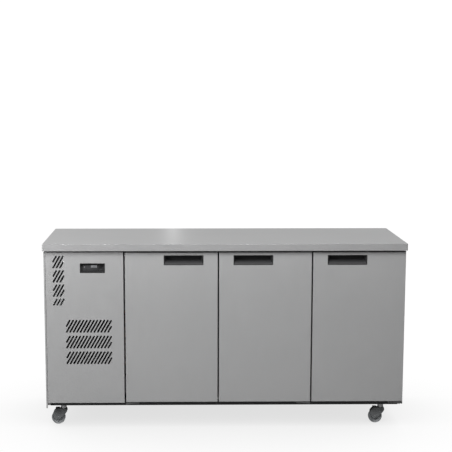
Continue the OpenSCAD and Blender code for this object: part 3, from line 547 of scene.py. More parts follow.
def pan(box, front, back, r, sheet, hole=None):
    """A folded sheet pan with a solid face or a face with a hole, as one closed surface."""
    outside = [(0, back)] + arc((r, front + r), r, 180, 270, 5)
    inside = [(sheet, front + sheet), (sheet, back)]
    if hole is None:
        return rect_loft(box, inside + outside, corner=1.6)
    border = (hole[0] - box[0], box[1] - hole[1], hole[2] - box[2], box[3] - hole[3])
    middle = [(border, front), (border, front + sheet)]
    return rect_loft(box, outside + middle + inside, corner=1.6, loop=True)


def worktop():
    """Folded top: fine front edges, return lip underneath and stiffening channels."""
    lo, hi = corners("worktop")
    low, high = lo[2], hi[2]
    top_r, low_r, lip, half = 0.15, 0.3, 20.0, 30
    stations = arc((top_r, high - top_r), top_r, 90, 180) + arc((low_r, low + low_r), low_r, 180, 270, 5)
    stations += [(lip, low), (lip, low + SHEET), (SHEET, low + SHEET), (SHEET, high - SHEET - 1),
                 (SHEET + 1, high - SHEET)]
    shapes = [rect_loft((lo[0], hi[0], lo[1], hi[1]), stations, axis="z", corner=3.0, steps=6)]
    high -= SHEET + 0.05
    for y in (-220, 0, 220):
        outer = [(y - half, high), (y - half, low), (y + half, low), (y + half, high)]
        a, b = y - half + SHEET, y + half - SHEET
        inner = [(b, high), (b, low + SHEET), (a, low + SHEET), (a, high)]
        shapes.append(prism(outer + inner, lo[0] + lip + 10, hi[0] - lip - 10, "x"))
    piece("worktop_folded", "cabinet", "stainless", STEEL_TOP, *shapes, replaces="worktop")


SLOT, LEAN = 9.0, 30  # a louvre slot's width, and its lean in degrees


def louvre_row(x0, x1, z0, z1, pitch):
    """One row of leaning slots between its own limits; the end ones are cut short to stay inside."""
    r, slope = SLOT / 2, math.tan(math.radians(LEAN))
    a0, a1, b0, b1 = x0 + r, x1 - r, z0 + r, z1 - r
    first = -1 if b1 - b0 > 50 else -0.02
    out = []
    for k in range(int((a1 - a0) / pitch + 1.6) + 1):
        foot = a0 + (k + first) * pitch
        low, high = max(b0, b0 + (a0 - foot) / slope), min(b1, b0 + (a1 - foot) / slope)
        if high - low > 10:
            p, q = ((foot + (z - b0) * slope, z) for z in (low, high))
            out.append(arc(q, r, -LEAN, 180 - LEAN, 8) + arc(p, r, 180 - LEAN, 360 - LEAN, 8))
    return out


def front_panel():
    box, front, back = front_view("front_panel")
    side, top = corners("side_panels")[0][0], corners("worktop")[1][2]
    # rows of slots: limits from the side sheet, drop below the worktop's face, height and pitch
    rows = [(44, 104, 60.3 + 72.5 * k, 64.5, 17.3) for k in range(3)] + [(44, 104, 277.8, 37, 17.3)]
    rows += [(106, 340, 387.3 + 81.5 * k, 67, 17.5) for k in range(3)]
    holes = [slot for x0, x1, drop, height, pitch in rows
             for slot in louvre_row(side + x0, side + x1, top - drop - height, top - drop, pitch)]
    holes.append(round_rect(shrunk(front_view("controller_bezel")[0], 2.5), 1.5))
    sheet = without(pan(box, front, back, SHEET, SHEET), *[prism(o, front - 3, front + 5) for o in holes])
    piece("front_panel_sheet", "cabinet", "stainless", STEEL_Z, sheet, replaces="front_panel")


# -------- doors

def door(body):
    """Folded skin with the blocks that take the hinge pins, and the parts that fill it."""
    box, front, back = front_view(f"{body}_skin")
    shell = pan(box, front, back, 1.8, 1.0, shrunk(front_view(f"{body}_handle")[0], 2.2))
    x, y, _ = joint_place(f"{body}_hinge")
    low, high = box[2:]
    bores = [rod((x, y, z - 4), (x, y, z + 4), 5.3, 32) for z in (low, high)]
    blocks = [softened(block((x - 15, x + 15), (front + 1, front + 29), z), 1.0)
              for z in ((low + 1, low + 23), (high - 23, high - 1))]
    holes = [rod((x, y, z - 19), (x, y, z + 19), 5.05, 32) for z in (low, high)]
    piece(f"{body}_outer", body, "stainless", STEEL_Z, without(shell, *bores),
          without(merged(*blocks), *holes), replaces=f"{body}_skin")
    carry(f"{body}_foam", FOAM)
    door_liner(body)
    door_gasket(body)
    handle(body)


def door_liner(body):
    """Pressed inner sheet: a flat rim for the gasket, then a raised field that the foam fills."""
    box, front, back = front_view(f"{body}_liner")
    rim, field, r = front + 1.0, 47.0, 2.0
    stations = [(0, front), (0, rim - 0.4), (0.4, rim), (field - 0.6, rim), (field, rim + 0.5)]
    stations += arc((field + 0.3 + r, back - r), r, 180, 90)
    rings = [layer(round_rect(shrunk(box, inset), 1.5 if inset < 10 else 1.8, 8), y) for inset, y in stations]
    piece(f"{body}_inner", body, "stainless", STEEL_INNER, skin(rings), replaces=f"{body}_liner")


def door_gasket(body):
    """Magnetic gasket: a foot, two bellows and the flat magnet chamber, mitred at the corners."""
    box, front, back = front_view(f"{body}_gasket")
    half, deep = 8.0, back - front
    wall = [(5.0, 0.0), (7.4, 1.2), (7.7, 2.6), (6.0, 3.7), (5.8, 4.6), (7.4, 5.6), (8.0, 7.0),
            (8.0, deep - 1.0), (7.2, deep)]
    profile = [(half - u, front + v) for u, v in wall] + [(half + u, front + v) for u, v in reversed(wall)]
    piece(f"{body}_gasket_bellows", body, "seal", SEAL,
          rect_loft(box, profile, corner=1.2, loop=True, steps=3), replaces=f"{body}_gasket")


def handle(body):
    """Recessed grip: a thin rim, a deep pocket behind its upper half and a lip curving up from below."""
    box, front, back = front_view(f"{body}_handle")
    rim, face, steps = 3.2, front + 1.2, 10
    stations = [(2.2, back), (2.2, face), (0.3, face), (0.0, face - 0.25), (0.25, front + 0.3), (0.9, front),
                (rim - 0.6, front), (rim, front + 0.5)]
    for k in range(1, steps + 1):
        t = k / steps
        out, deep = math.sin(t * math.pi / 2), 1 - math.cos(t * math.pi / 2)
        ends, low = rim + 9.0 * out ** 1.5, rim + ((box[3] - box[2]) * 0.47 - rim) * out
        stations.append(((ends, ends, low, rim + 1.2 * t), front + 1.0 + (back - front - 3.5) * deep ** 0.9))
    piece(f"{body}_grip", body, "black_plastic", BLACK, rect_loft(box, stations, corner=3.0, steps=5),
          replaces=f"{body}_handle")


# -------- controls

def middle(box):
    return (box[0] + box[1]) / 2, (box[2] + box[3]) / 2


def around(u, v, half_u, half_v):
    """The box around a point."""
    return u - half_u, u + half_u, v - half_v, v + half_v


def controls():
    """Surround with the walls of the rocker's housing, and what sits in it."""
    box, front, _ = front_view("controller_bezel")
    u, v = middle(front_view("power_rocker")[0])
    plate, wall = front + 13.5, 3.4
    shell = rect_loft(box, [(2, plate + 3), (2, front + 1.5), (0.3, front + 1.5), (0, front + 1.1),
                            (0.2, front + 0.4), (0.9, front), (wall - 0.7, front), (wall, front + 0.6),
                            (wall + 0.8, plate)], corner=3.0)
    collar = [(1.2, -0.2), (0, -0.2), (0.1, -1.2), (0.7, -1.7), (1.6, -1.7), (2.0, -1.2), (2.0, -0.2)]
    walls = [(0, 2.9), (0, 16), (1.6, 16), (1.6, 2.9)]
    housing = []
    for half, stations, r in (((9.6, 13), collar, 2.2), ((10, 14), walls, 1.5)):
        stations = [(inset, plate + d) for inset, d in stations]
        housing.append(rect_loft(around(u, v, *half), stations, corner=r, loop=True))
    cut_face = prism(round_rect(shrunk(front_view("controller_body")[0], 1.2), 2), plate - 3, plate + 6)
    cut_rocker = prism(round_rect(around(u, v, 7.9, 11.5), 1), plate - 1, plate + 6)
    piece("controller_surround", "cabinet", "black_plastic", BLACK, without(shell, cut_face, cut_rocker),
          *housing, replaces="controller_bezel")
    controller()
    rocker()


def controller():
    """Controller face with a smoked window, three keys in their wells and a round sensor eye."""
    box, front, back = front_view("controller_body")
    wells = []
    for k in NUMBERS:
        key, key_front, key_back = front_view(f"button_{k}")
        u, v = middle(key)
        wells.append(lathe([(2.56, -1), (2.56, 5)], (u, front, v), "y", 32))
        cap = [(2.5, key_back - key_front), (2.5, 0.5), (2.3, 0.2), (1.8, 0.05), (1.2, 0.12), (0.3, 0.2)]
        piece(f"key_cap_{k}", f"key_{k}", "black_plastic", KEYS, lathe(cap, (u, key_front, v), "y", 32),
              replaces=f"button_{k}")
    shell = rect_loft(box, [(1.7, back), (1.7, front + 3), (0.2, front + 3), (0, front + 2.6),
                            (0, front + 1.0), (0.3, front + 0.3), (1.0, front)], corner=3.0)
    pane = (box[0] + 39, box[1] - 4, box[2] + 15.5, box[3] - 3.5)
    recess = prism(round_rect(pane, 1.5), front - 1, front + 0.8)
    piece("controller_case", "cabinet", "controller_face", FACE, without(shell, recess, *wells),
          replaces="controller_body")
    glass = [(0.15, front + 0.85), (0.15, front + 0.35), (0.5, front + 0.1), (1.2, front + 0.02)]
    # The window's grey colour is a painted reflection.
    piece("controller_window", "cabinet", "controller_face", WINDOW_PAINTED_REFLECTION, rect_loft(pane, glass, corner=1.5))
    eye = [(2.3, 0.2), (2.3, -0.3), (1.9, -0.7), (1.2, -0.95), (0.4, -1.05)]
    piece("controller_eye", "cabinet", "controller_face", WINDOW_PAINTED_REFLECTION,
          lathe(eye, (box[0] + 7.5, front, box[2] + 18), "y", 24))


def rocker():
    """Rocker cap with a dished face, tilted about its pivot, and its pivot pins."""
    half_w, half_h, tilt = 7.5, 10.5, 8
    dish = arc((0, -30.5), 26, 90 - 23.4, 90 + 23.4, 10)
    outline = [(half_h, 2.5), (half_h, -6.0), *dish, (-half_h, -6.0), (-half_h, 2.5)]
    cap = softened(prism([(v, u) for u, v in outline], -half_w, half_w, "x"), 0.5, 3)
    pins = [rod((s * 7.4, 0, 0), (s * 8.6, 0, 0), 1.5, 20) for s in (-1, 1)]
    piece("rocker_cap", "rocker", "black_plastic", KEYS,
          moved(merged(cap, *pins), joint_place("rocker_tilt"), "x", tilt), replaces="power_rocker")


# -------- castors

def castor_mounts():
    """Boss, threaded stem with its nut, and the kingpin of each castor."""
    thread = [q for z in (103.2 + k * 1.55 for k in range(8))
              for q in ((6.0, z + 0.35), (6.0, z + 0.55), (5.3, z + 1.2))]
    boss = [(12, 82.2), (14.4, 82.4), (15, 83.2), (15, 101.6), (14.4, 102.9), (6, 102.9)]
    parts = []
    for castor_name in CASTORS:
        x, y, _ = joint_place(f"swivel_{castor_name}")
        at = (x, y, 0)
        parts += [
            lathe(boss, at, "z", 40),
            lathe([(5.2, 102.5), *thread, (5.0, 116.0)], at, "z", 32),
            softened(lathe([(10, 105), (10, 113.5)], at, "z", 6), 0.8),
            lathe([(6.2, 72.5), (7.5, 72.7), (7.5, 75.4), (5.0, 75.5), (5.0, 84)], at, "z", 32),
        ]
    piece("castor_swivel_bosses", "cabinet", "castor_steel", PLATED, *parts, replaces="castor_mounts")


def side_plate(trail, axle_z):
    """Outline of a fork's side plate as (x, z) from the swivel's axis on the floor: a head, an eye
    for the axle and a hood over the wheel's upper rear."""
    head = [(-17, 82), (17.5, 82), (19, 69), (15.5, 63), (6, axle_z + 15), (0, axle_z + 8)]
    eye = arc((-trail, axle_z), 12, -25, -115, 3)
    hood = [(-12, -8), (-20, -3), (-26, 15), (-27, 23), (-25, 31), (-18, 40)]
    return rounded(head + eye + [(u - trail, axle_z + v) for u, v in hood] + [(-trail - 8, 80)], 4)


def castor(name):
    """Fork with its race and riveted axle, wheel, and a brake pedal on the front ones."""
    x, y, _ = joint_place(f"swivel_{name}")
    axle_x, _, axle_z = joint_place(f"roll_{name}")
    trail, inner, outer = x - axle_x, 14.5, 17.0
    shapes = [softened(prism(side_plate(trail, axle_z), s * inner, s * outer), 0.7) for s in (-1, 1)]
    crown = softened(block((-17, 17.5), (-inner - 0.5, inner + 0.5), (76, 82)), 1.6, 3)
    shapes.append(without(crown, rod((0, 0, 70), (0, 0, 90), 5.06, 32)))
    race = [(5.1, 76.2), (5.1, 72.9), (8.2, 72.6), (13, 73.4), (15.5, 75.2), (15.5, 76.2)]
    shapes.append(lathe(race, (0, 0, 0), "z", 40))
    shapes.append(rod((-trail, -outer + 0.1, axle_z), (-trail, outer - 0.1, axle_z), 4, 24))
    cap = [(6.0, -0.1), (6.0, 0.9), (5.2, 1.6), (3.3, 1.9), (0.3, 2.0)]
    shapes += [lathe([(r, s * (outer + h)) for r, h in cap], (-trail, 0, axle_z), "y", 28) for s in (-1, 1)]
    piece(f"castor_fork_{name}", f"fork_{name}", "castor_steel", FORK,
          *[moved(p, (x, y, 0)) for p in shapes], replaces=f"fork_{name}")
    wheel(name, (axle_x, y, axle_z))
    if name.startswith("front"):
        brake(name, (x, y, 0))


def wheel(name, centre):
    """Tyre with a flat tread and round shoulders, a recessed web with ribs, and a hub."""
    half, shoulder = 11.0, 2.6
    tyre = [(29.0, -8.6), *arc((32.4, shoulder - half), shoulder, -120, 0),
            *arc((32.4, half - shoulder), shoulder, 0, 120), (29.0, 8.6)]
    web = [(4.05, -13), (8.2, -13), (9.0, -12.3), (9.6, -8.4), (11, -7.6), (24.5, -7.2), (26.2, -8.0),
           (26.8, -10.4), (28.0, -10.9), (29.3, -10.2)]
    web += [(r, -h) for r, h in reversed(web)]
    shapes = [lathe(profile, centre, "y", 72, loop=True) for profile in (tyre, web)]
    for degrees in range(30, 390, 60):
        for y in ((-9.6, -7), (7, 9.6)):
            shapes.append(moved(softened(block((9, 27), y, (-1.1, 1.1)), 0.4), centre, "y", degrees))
    piece(f"castor_wheel_{name}", f"wheel_{name}", "castor_wheel", WHEEL, *shapes, replaces=f"wheel_{name}")


def brake(name, base):
    """Foot pedal with a ribbed step, its pivot, and the shoe above the wheel."""
    body = f"brake_{name}"
    lo, hi = corners(body)
    pivot_x, low, top, toe = -24.0, lo[2], hi[2], lo[0] - base[0]
    outline = [(pivot_x, 78), (-21, 81), (-22, 85), (-26, top), (toe, top), (toe, 79.3),
               (-40, 78.8), (-40, low), (-34, low), (-33.8, 78.5)]
    shapes = [softened(prism(rounded(outline, 1.4), -12, 12), 0.7)]
    for x in (toe + 2.5 + k * 4 for k in range(4)):
        shapes.append(softened(block((x, x + 1.6), (-10, 10), (top - 0.5, top + 0.5)), 0.3))
    shapes.append(rod((pivot_x, -12.5, 82), (pivot_x, 12.5, 82), 4.2, 24, 0.6))
    shapes.append(rod((pivot_x, -16.8, 82), (pivot_x, 16.8, 82), 2.0, 20, 0.3))
    piece(f"brake_pedal_{name}", body, "black_plastic", PEDAL, *[moved(s, base) for s in shapes],
          replaces=body)


# -------- storage section

def shelf(node):
    """Wire shelf: a bent frame of heavy wire, cross rods and a mat of thin wires."""
    lo, hi = corners(node)
    r, thin, mats, sides = 3.0, 1.35, 22, 12
    z = lo[2] + r
    x0, x1, y0, y1 = box = lo[0] + r, hi[0] - r, lo[1] + r, hi[1] - r
    outline = round_rect(box, 14, 6)
    rings = []
    for before, at, after in zip(outline[-1:] + outline, outline, outline[1:] + outline[:1]):
        way = (Vector(after) - Vector(before)).normalized()
        rings.append(hoop(Vector((*at, z)), Vector((way.y, -way.x, 0)), Vector((0, 0, 1)), r, sides))
    shapes = [skin(rings, loop=True)]
    for y in (y0 + (y1 - y0) * share for share in (0.27, 0.5, 0.73)):
        shapes.append(rod((x0, y, z), (x1, y, z), 2.4, 12))
    for x in (x0 + (x1 - x0) * k / mats for k in range(1, mats)):
        shapes.append(rod((x, y0 - 1, z + 2.4), (x, y1 + 1, z + 2.4), thin, 10, 0.4))
    piece(f"wire_{node}", node, "shelf_wire", WIRE, *shapes, replaces=node)


# -------- cooling

def fan(body, node, centre, axis, radius, hub):
    """Axial fan: swept blades that flatten towards their tips, round a rounded hub. Its own axis is
    turned by 90 degrees about the given one."""
    shapes = []
    blades, spans, chords, top = 5, 8, 6, 12
    for b in range(blades):
        rings = []
        for share in (s / spans for s in range(spans + 1)):
            r = hub - 2 + (radius - hub + 2) * share
            pitch = math.radians(52 - 26 * share)
            chord = (radius * 0.62) * (0.75 + 0.35 * math.sin(math.pi * share * 0.9))
            front, rear = [], []
            for row, lift in ((front, 0.9), (rear, -0.9)):
                for c in range(chords + 1):
                    t = (c / chords - 0.5) * chord
                    camber = 0.09 * chord * (1 - (2 * c / chords - 1) ** 2)
                    angle = 2 * math.pi * b / blades + 0.32 * share * share + t * math.cos(pitch) / r
                    high = t * math.sin(pitch) * 0.42 + camber * 0.5 + lift
                    row.append((r * math.cos(angle), r * math.sin(angle), high))
            rings.append(front + rear[::-1])
        shapes.append(skin(rings))
    profile = [(hub - 3, -top), (hub, -top + 2), (hub, top - 3), (hub - 2, top - 1), (hub - 6, top), (2, top)]
    shapes.append(lathe(profile, (0, 0, 0), "z", 40))
    shapes.append(rod((0, 0, -top - 10), (0, 0, -top + 2), 2.4, 16))
    piece(f"{body}_blades", body, "black_plastic", BLACK, *[moved(s, centre, axis, 90) for s in shapes],
          replaces=node)


def fin_pack(x, y, z, axis, pitch):
    """Thin fins in a row along x or y, with thicker header plates at the ends."""
    low, high = x if axis == "x" else y
    count = int((high - low) / pitch)
    shapes = []
    for k in range(count + 1):
        at = low + (high - low) * k / count
        half = 0.3 if 0 < k < count else 0.8
        fin = (at - half, at + half)
        shapes.append(block(fin, y, z) if axis == "x" else block(x, fin, z))
    return shapes


def coil_tubes(axis, ends, rows, low_z, pitch, count, r, sides, bulge):
    """Straight tubes along x or y between two ends, in rows, with U bends that join each row."""
    def place(along, across, z):
        return (along, across, z) if axis == "x" else (across, along, z)

    heights = [low_z + k * pitch for k in range(count)]
    shapes = [rod(place(ends[0], row, z), place(ends[1], row, z), r, sides) for z in heights for row in rows]
    for k, z in enumerate(heights[:-1]):
        side = k % 2
        out = Vector(place(bulge if side else -bulge, 0, 0))
        for row in rows:
            a, b = Vector(place(ends[side], row, z)), Vector(place(ends[side], row, z + pitch))
            centre, half = (a + b) / 2, (a - b) / 2
            turns = (math.pi * i / 10 for i in range(11))
            out_by = out * half.length
            shapes.append(tube([centre + half * math.cos(t) + out_by * math.sin(t) for t in turns], r, 10))
    return shapes


COMPRESSOR = (-740.0, 110.0)  # x and y of its shell's centre


def condensing_unit():
    """Condenser with its fan and motor, and the parts round it on the tray."""
    lo, _ = corners("condenser")
    cx, fan_y, cz = joint_place("condenser_fan_spin")
    x, y, z = (cx - 145, cx + 145), (lo[1], lo[1] + 50), (cz - 140, cz + 140)
    # Black enamel in place of copper on the condenser's tubes: painted shade behind the louvres.
    piece("condenser_tubes", "cabinet", "copper", ENAMEL,
          *coil_tubes("x", (x[0] - 3, x[1] + 3), (y[0] + 14, y[0] + 36), z[0] + 14, 28, 10, 4, 12, 0.7))
    legs = [softened(block((a, a + 2), y, (lo[2], z[0] + 1)), 0.4) for a in (x[0], x[1] - 2)]
    ring = lathe([(121.5, -0.5), (121.5, 31), (123, 33.5), (126, 34), (124, 30), (123.2, -0.5)],
                 (cx, y[1], cz), "y", 96, loop=True)
    plate = without(block(x, (y[1] - 0.2, y[1] + 1.0), z),
                    rod((cx, y[1] - 5, cz), (cx, y[1] + 5, cz), 121.6, 96))
    piece("condenser_fins", "cabinet", "coil", DARK_FINS_PAINTED_SHADE, *fin_pack(x, y, z, "x", 3.6), *legs, ring, plate,
          replaces="condenser")
    fan("cooling_fan", "condenser_fan", (cx, fan_y - 14, cz), "x", 116, 25)

    at = (cx, corners("condenser_fan_motor")[0][1], cz)
    shell = lathe([(2.6, 0), (30, 0), (35, 3), (36, 8), (36, 30), (33, 46), (28, 50), (4, 50)], at, "y", 48)
    shell = without(shell, rod((cx, at[1] - 5, cz), (cx, at[1] + 30, cz), 3.1, 24))
    leg = softened(block((-7, 7), (0, 3), (30, 123.4)), 0.8)
    legs = [moved(leg, at, "y", a) for a in (45, 135, 225, 315)]
    ribs = [lathe([(35.5, h), (37.4, h + 0.6), (37.4, h + 1.8), (35.5, h + 2.4)], at, "y", 48, loop=True)
            for h in (6 + k * 6.5 for k in range(6))]
    piece("cooling_fan_motor", "cabinet", "black_enamel", MOTOR, shell, *legs, *ribs,
          replaces="condenser_fan_motor")

    lo, hi = corners("electrical_box")
    case = softened(block((lo[0], lo[0] + 52), (lo[1] + 4, hi[1] - 4), (lo[2] + 4, hi[2] - 4)), 4, 3)
    lid = softened(block((lo[0] + 51.5, hi[0]), (lo[1], hi[1]), (lo[2], hi[2])), 2.5, 3)
    piece("electrical_case", "cabinet", "box_plastic", BOX, case, lid, replaces="electrical_box")
    screws = [pan_head((hi[0], y, z), "x", 3.4) for y in (lo[1] + 12, hi[1] - 12)
              for z in (lo[2] + 12, hi[2] - 12)]
    piece("electrical_case_screws", "cabinet", "stainless", SCREW, *screws)


def compressor():
    """Welded steel shell on a foot plate with rubber grommets, and its terminal cover."""
    cx, cy = COMPRESSOR
    z = corners("compressor")[0][2]
    profile = [(20, 12), *arc((64, 38), 26, -90, 0), (90, 104), (91.5, 105), (95, 105.4), (95, 110.6),
               (91.5, 111), (90, 112), *arc((50, 162), 40, 0, 72), (12, 202)]
    shell = lathe(profile, (cx, cy, z), "z", 72)
    foot = softened(block((cx - 95, cx + 95), (cy - 55, cy + 55), (z + 12, z + 16)), 1.5, 3)
    cover = softened(block((cx - 105, cx - 78), (cy - 35, cy + 35), (z + 70, z + 150)), 6, 4)
    stubs = [rod((cx + 85, cy, z + 110), (cx + 110, cy, z + 110), 5.2, 20, 0.5),
             rod((cx + 40, cy + 40, z + 188), (cx + 40, cy + 40, z + 230), 7, 20, 0.5)]
    piece("compressor_shell", "cabinet", "black_enamel", ENAMEL, shell, foot, cover, *stubs,
          replaces="compressor")
    grommet = [(5, 0), (11.5, 0), (12, 1), (12, 4), (9.5, 5.5), (9.5, 8), (12, 9.5), (12, 12), (9, 12)]
    piece("compressor_grommets", "cabinet", "seal", SEAL,
          *[lathe(grommet, (cx + sx, cy + sy, z), "z", 28) for sx in (-80, 80) for sy in (-42, 42)])


def pipework():
    """Discharge, liquid and suction lines with bent corners, and the drier."""
    cx, cy = COMPRESSOR
    z0 = corners("compressor")[0][2]
    line_x, mid_y, top, low = -525.0, -210.0, 555.0, 305.0
    stub, pocket_z = -630.0, 640.0
    runs = [
        ([(cx + 108, cy, z0 + 110), (line_x, cy, z0 + 110), (line_x, cy, top), (line_x, mid_y, top),
          (line_x - 15, mid_y, top)], 4, 16),
        ([(line_x - 15, mid_y, low), (line_x, mid_y, low), (line_x, 60, low), (stub - 12, 60, low),
          (stub - 12, 60, pocket_z), (stub - 12, 30, pocket_z), (stub + 2, 30, pocket_z)], 4, 16),
        ([(stub + 2, 220, pocket_z), (stub - 14, 220, pocket_z), (stub - 14, 220, z0 + 260),
          (cx + 40, 220, z0 + 260), (cx + 40, cy + 40, z0 + 260), (cx + 40, cy + 40, z0 + 226)], 5, 22),
    ]
    lines = [tube(bent_path(path, curve), r, 14) for path, r, curve in runs]
    drier = [(4, -60), (5, -57), (11, -50), (12, -47), (12, 17), (11, 20), (5, 27), (4, 30)]
    piece("refrigerant_lines", "cabinet", "copper", COPPER, *lines, lathe(drier, (line_x, 0, low), "y", 32),
          replaces="refrigerant_pipes")


def evaporator():
    """Evaporator coil with its fan, in the pocket between machine and storage sections."""
    left = corners("evaporator_coil")[0][0]
    fx, fy, fz = joint_place("evaporator_fan_spin")
    x, y, z = (-592.0, -548.0), (fy - 124, fy + 124), (fz - 110, fz + 110)
    tubes = coil_tubes("y", (y[0] - 2, y[1] + 2), (x[0] + 11, x[0] + 33), z[0] + 14, 27.4, 8, 3.2, 10, 0.55)
    for pipe_y, r in ((30.0, 4), (220.0, 5)):
        tubes.append(rod((left, pipe_y, 640), (x[0] + 2, pipe_y, 640), r, 16))
    piece("evaporator_tubes", "cabinet", "copper", COPPER, *tubes)
    piece("evaporator_fins", "cabinet", "coil", FINS, *fin_pack(x, y, z, "y", 5.0),
          replaces="evaporator_coil")
    fan("air_fan", "evaporator_fan", (fx - 4, fy, fz), "y", 67, 17)


# -------- back, base and small parts

BACK = 332.0  # y of the back sheets' outer face


def pan_head(at, axis, r):
    """A pan-head screw with a round recess, its head standing along an axis."""
    profile = [(r, 0), (r, 0.35 * r), (0.86 * r, 0.55 * r), (0.5 * r, 0.66 * r), (0.36 * r, 0.66 * r),
               (0.3 * r, 0.25 * r)]
    return lathe(profile, at, axis, 20)


def power_cord():
    """Moulded strain relief, hanging cord and a plug with two round pins."""
    cx, cz, loop_r = -760.0, 470.0, 90.0
    y, end = BACK + 9, cx + loop_r
    cord = tube([(u, y, v) for u, v in arc((cx, cz), loop_r, 180, 360, 28)], 4, 16)
    gland = lathe([(10, 0), (10, 3), (8.6, 3.6), (8.6, 15), (7, 16.5), (3, 16.5)],
                  (cx - loop_r, BACK, cz + 4), "y", 28)
    relief = [rod((end, y, cz - 2 - 5 * k), (end, y, cz - 5 - 5 * k), 6.6 - 0.7 * k, 16, 0.4)
              for k in range(3)]
    plug = softened(block((end - 18, end + 18), (BACK + 1, BACK + 16.5), (cz - 2, cz + 50)), 4, 4)
    grip = [softened(block((end - 13, end + 13), (BACK + 16.2, BACK + 17.2), (z, z + 2.5)), 0.4)
            for z in (cz + 8 + 5 * k for k in range(5))]
    piece("mains_cord", "cabinet", "seal", CORD, cord, gland, plug, *relief, *grip, replaces="power_cord")
    piece("plug_pins", "cabinet", "stainless", SCREW,
          *[rod((end + s, y, cz + 48), (end + s, y, cz + 69), 2.4, 20, 0.8) for s in (-9.5, 9.5)])


def screws():
    """Pan-head screws round the back sheets."""
    places = []
    for node, count in (("rear_grille", 2), ("back_panel", 5)):
        lo, hi = corners(node)
        xs = [lo[0] + 16 + (hi[0] - lo[0] - 32) * k / (count - 1) for k in range(count)]
        places += [(x, z) for x in xs for z in (lo[2] + 12, hi[2] - 10)]
        places += [(x, lo[2] + (hi[2] - lo[2]) * z) for z in (0.33, 0.67) for x in (lo[0] + 16, hi[0] - 16)]
    piece("back_screws", "cabinet", "stainless", SCREW,
          *[pan_head((x, BACK, z), "y", 4.0) for x, z in places])


def base_painted_shadow():
    """Dark strip along the front edge of the base pan: a painted shadow under the doors."""
    lo, hi = corners("base_pan")
    strip = block((lo[0] + 14, hi[0] - 14), (lo[1] - 1.0, lo[1] + 0.4), (lo[2] - 1.3, lo[2] + 24))
    # Painted shadow: a near-black strip in front of the base pan.
    piece("base_pan_painted_shadow", "cabinet", "black_enamel", PAN_BLACK_AND_PAINTED_SHADE, softened(strip, 0.3))


CARRIED = [
    ("side_panels", STEEL_Z, 0.3), ("back_panel", ZINC, 0.3), ("rear_grille", ZINC, 0.2),
    ("base_pan", PAN_BLACK_AND_PAINTED_SHADE, 0.5), ("hinge_brackets", BRACKET_PAINTED_SHADE, 0.5), ("inner_liner", STEEL_INNER, 0.3),
    ("front_frame", STEEL_FRAME, 0.3), ("mullions", STEEL_FRAME, 0.5), ("shelf_supports", STEEL_INNER, 0.35),
    ("evaporator_cover", STEEL_INNER, 0.3), ("evaporator_fan_motor", MOTOR, 0.6), ("body_foam", FOAM, 0.0),
    ("bulkhead", ZINC, 0.3), ("unit_tray", ZINC, 0.4),
]


# -------- stage, light and camera

FLOOR_SIZE = 30.0
FLOOR_TONE = 0.2  # of what the object is lit by
FLOOR_SEEN_PAINTED_SHADOW = (0.72, 1.03)  # brightness for the camera: painted shadow under the object, and white away from it
# How far from the object the floor's painted shadow reaches, in metres.
FLOOR_REACH = 1.3
SKY = (("X", -1, 0.78), ("Y", -1, 0.61), ("Y", 1, 0.65))  # side and strength: left, front, back
SKY_SEEN = 1.1
LAMPS = {  # place, target, size and power
    "front_top": ((0, -3.2, 3.6), (0, -0.3, 0.4), (3.0, 1.5), 375),
    "left_near": ((-2.3, -1.9, 1.7), (-0.6, -0.3, 0.7), (1.0, 1.0), 65),
    "streak": ((-0.29, 3.0, 1.33), (-0.26, 0, 0.95), (0.06, 0.25), 0.17),
}


def floor():
    """Pale floor. What the camera sees of it is a glow, dimmer where the object stands close by: a painted
    shadow, so shadows on it stay light without the object being lit from below."""
    mesh = bpy.data.meshes.new("floor")
    s = FLOOR_SIZE
    mesh.from_pydata([(-s, -s, 0), (s, -s, 0), (s, s, 0), (-s, s, 0)], [], [(0, 1, 2, 3)])
    tone = (FLOOR_TONE,) * 3
    m = Shader("pale_floor", tone, 0.0, 0.9)
    camera_ray = m.node("ShaderNodeLightPath", "Is Camera Ray")
    m.set("Base Color", m.mix(camera_ray, tone, (0.0, 0.0, 0.0)))
    m.set("Specular IOR Level", 0.0)
    m.set("Emission Color", WHITE)
    # Painted shadow: the camera-only glow is dimmed by occlusion near the object.
    glow_with_painted_shadow = m.ranged(m.open_sky(FLOOR_REACH, 16), *FLOOR_SEEN_PAINTED_SHADOW)
    m.set("Emission Strength", m.math("MULTIPLY", camera_ray, glow_with_painted_shadow))
    mesh.materials.append(m.material)
    add_object("floor", mesh)


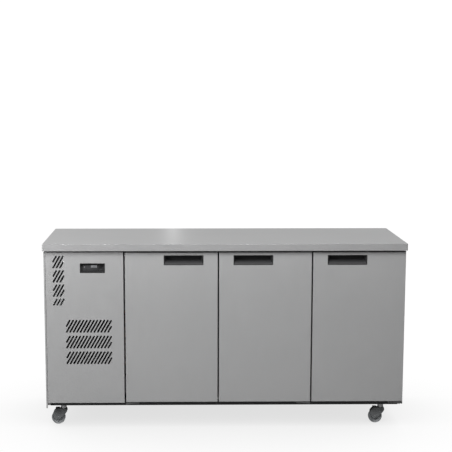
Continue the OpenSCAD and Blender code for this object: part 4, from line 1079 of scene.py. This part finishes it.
def surroundings():
    """White where the camera looks straight at it; a softer, uneven studio for everything else."""
    world = bpy.data.worlds.new("studio")
    bpy.context.scene.world = world
    world.use_nodes = True
    world.node_tree.nodes.clear()
    w = Nodes(world.node_tree)
    place = w.node("ShaderNodeTexCoord", "Generated")
    strength = 0.0
    for axis, sign, amount in SKY:
        along = w.math("MULTIPLY", w.node("ShaderNodeSeparateXYZ", axis, {0: place}), sign)
        strength = w.math("ADD", w.math("MULTIPLY", w.math("MAXIMUM", along, 0.0), amount), strength)
    felt = w.node("ShaderNodeBackground", 0, {"Color": WHITE, "Strength": strength})
    seen = w.node("ShaderNodeBackground", 0, {"Color": WHITE, "Strength": SKY_SEEN})
    camera_ray = w.node("ShaderNodeLightPath", "Is Camera Ray")
    both = w.node("ShaderNodeMixShader", 0, {0: camera_ray, 1: felt, 2: seen})
    w.feed(both, world.node_tree.nodes.new("ShaderNodeOutputWorld").inputs[0])


def lights():
    for name, (at, towards, size, power) in LAMPS.items():
        light = bpy.data.lights.new(name, "AREA")
        light.shape = "RECTANGLE"
        light.size, light.size_y = size
        light.energy = power
        o = add_object(name, light)
        o.location = at
        o.rotation_euler = (Vector(towards) - Vector(at)).to_track_quat("-Z", "Y").to_euler()
        o.visible_camera = False


def camera():
    """The photo's viewpoint: in front, a little to the left, looking slightly down."""
    data = bpy.data.cameras.new("camera")
    data.sensor_width, data.lens = 36.0, 101.23
    data.shift_x, data.shift_y = 0.0507, 0.1577
    data.clip_start, data.clip_end = 0.1, 200.0
    o = add_object("camera", data)
    o.location = (-0.208, -6.648, 1.747)
    o.rotation_euler = (math.radians(80.40), 0.0, math.radians(-0.881))
    bpy.context.scene.camera = o


# -------- build

worktop()
front_panel()
for number in NUMBERS:
    door(f"door_{number}")
    shelf(f"shelf_{number}")
controls()
castor_mounts()
for place_name in CASTORS:
    castor(place_name)
condensing_unit()
compressor()
pipework()
evaporator()
power_cord()
screws()
base_painted_shadow()
for carried in CARRIED:
    carry(*carried)
floor()
surroundings()
lights()
camera()
bpy.context.scene.view_settings.view_transform = "Standard"
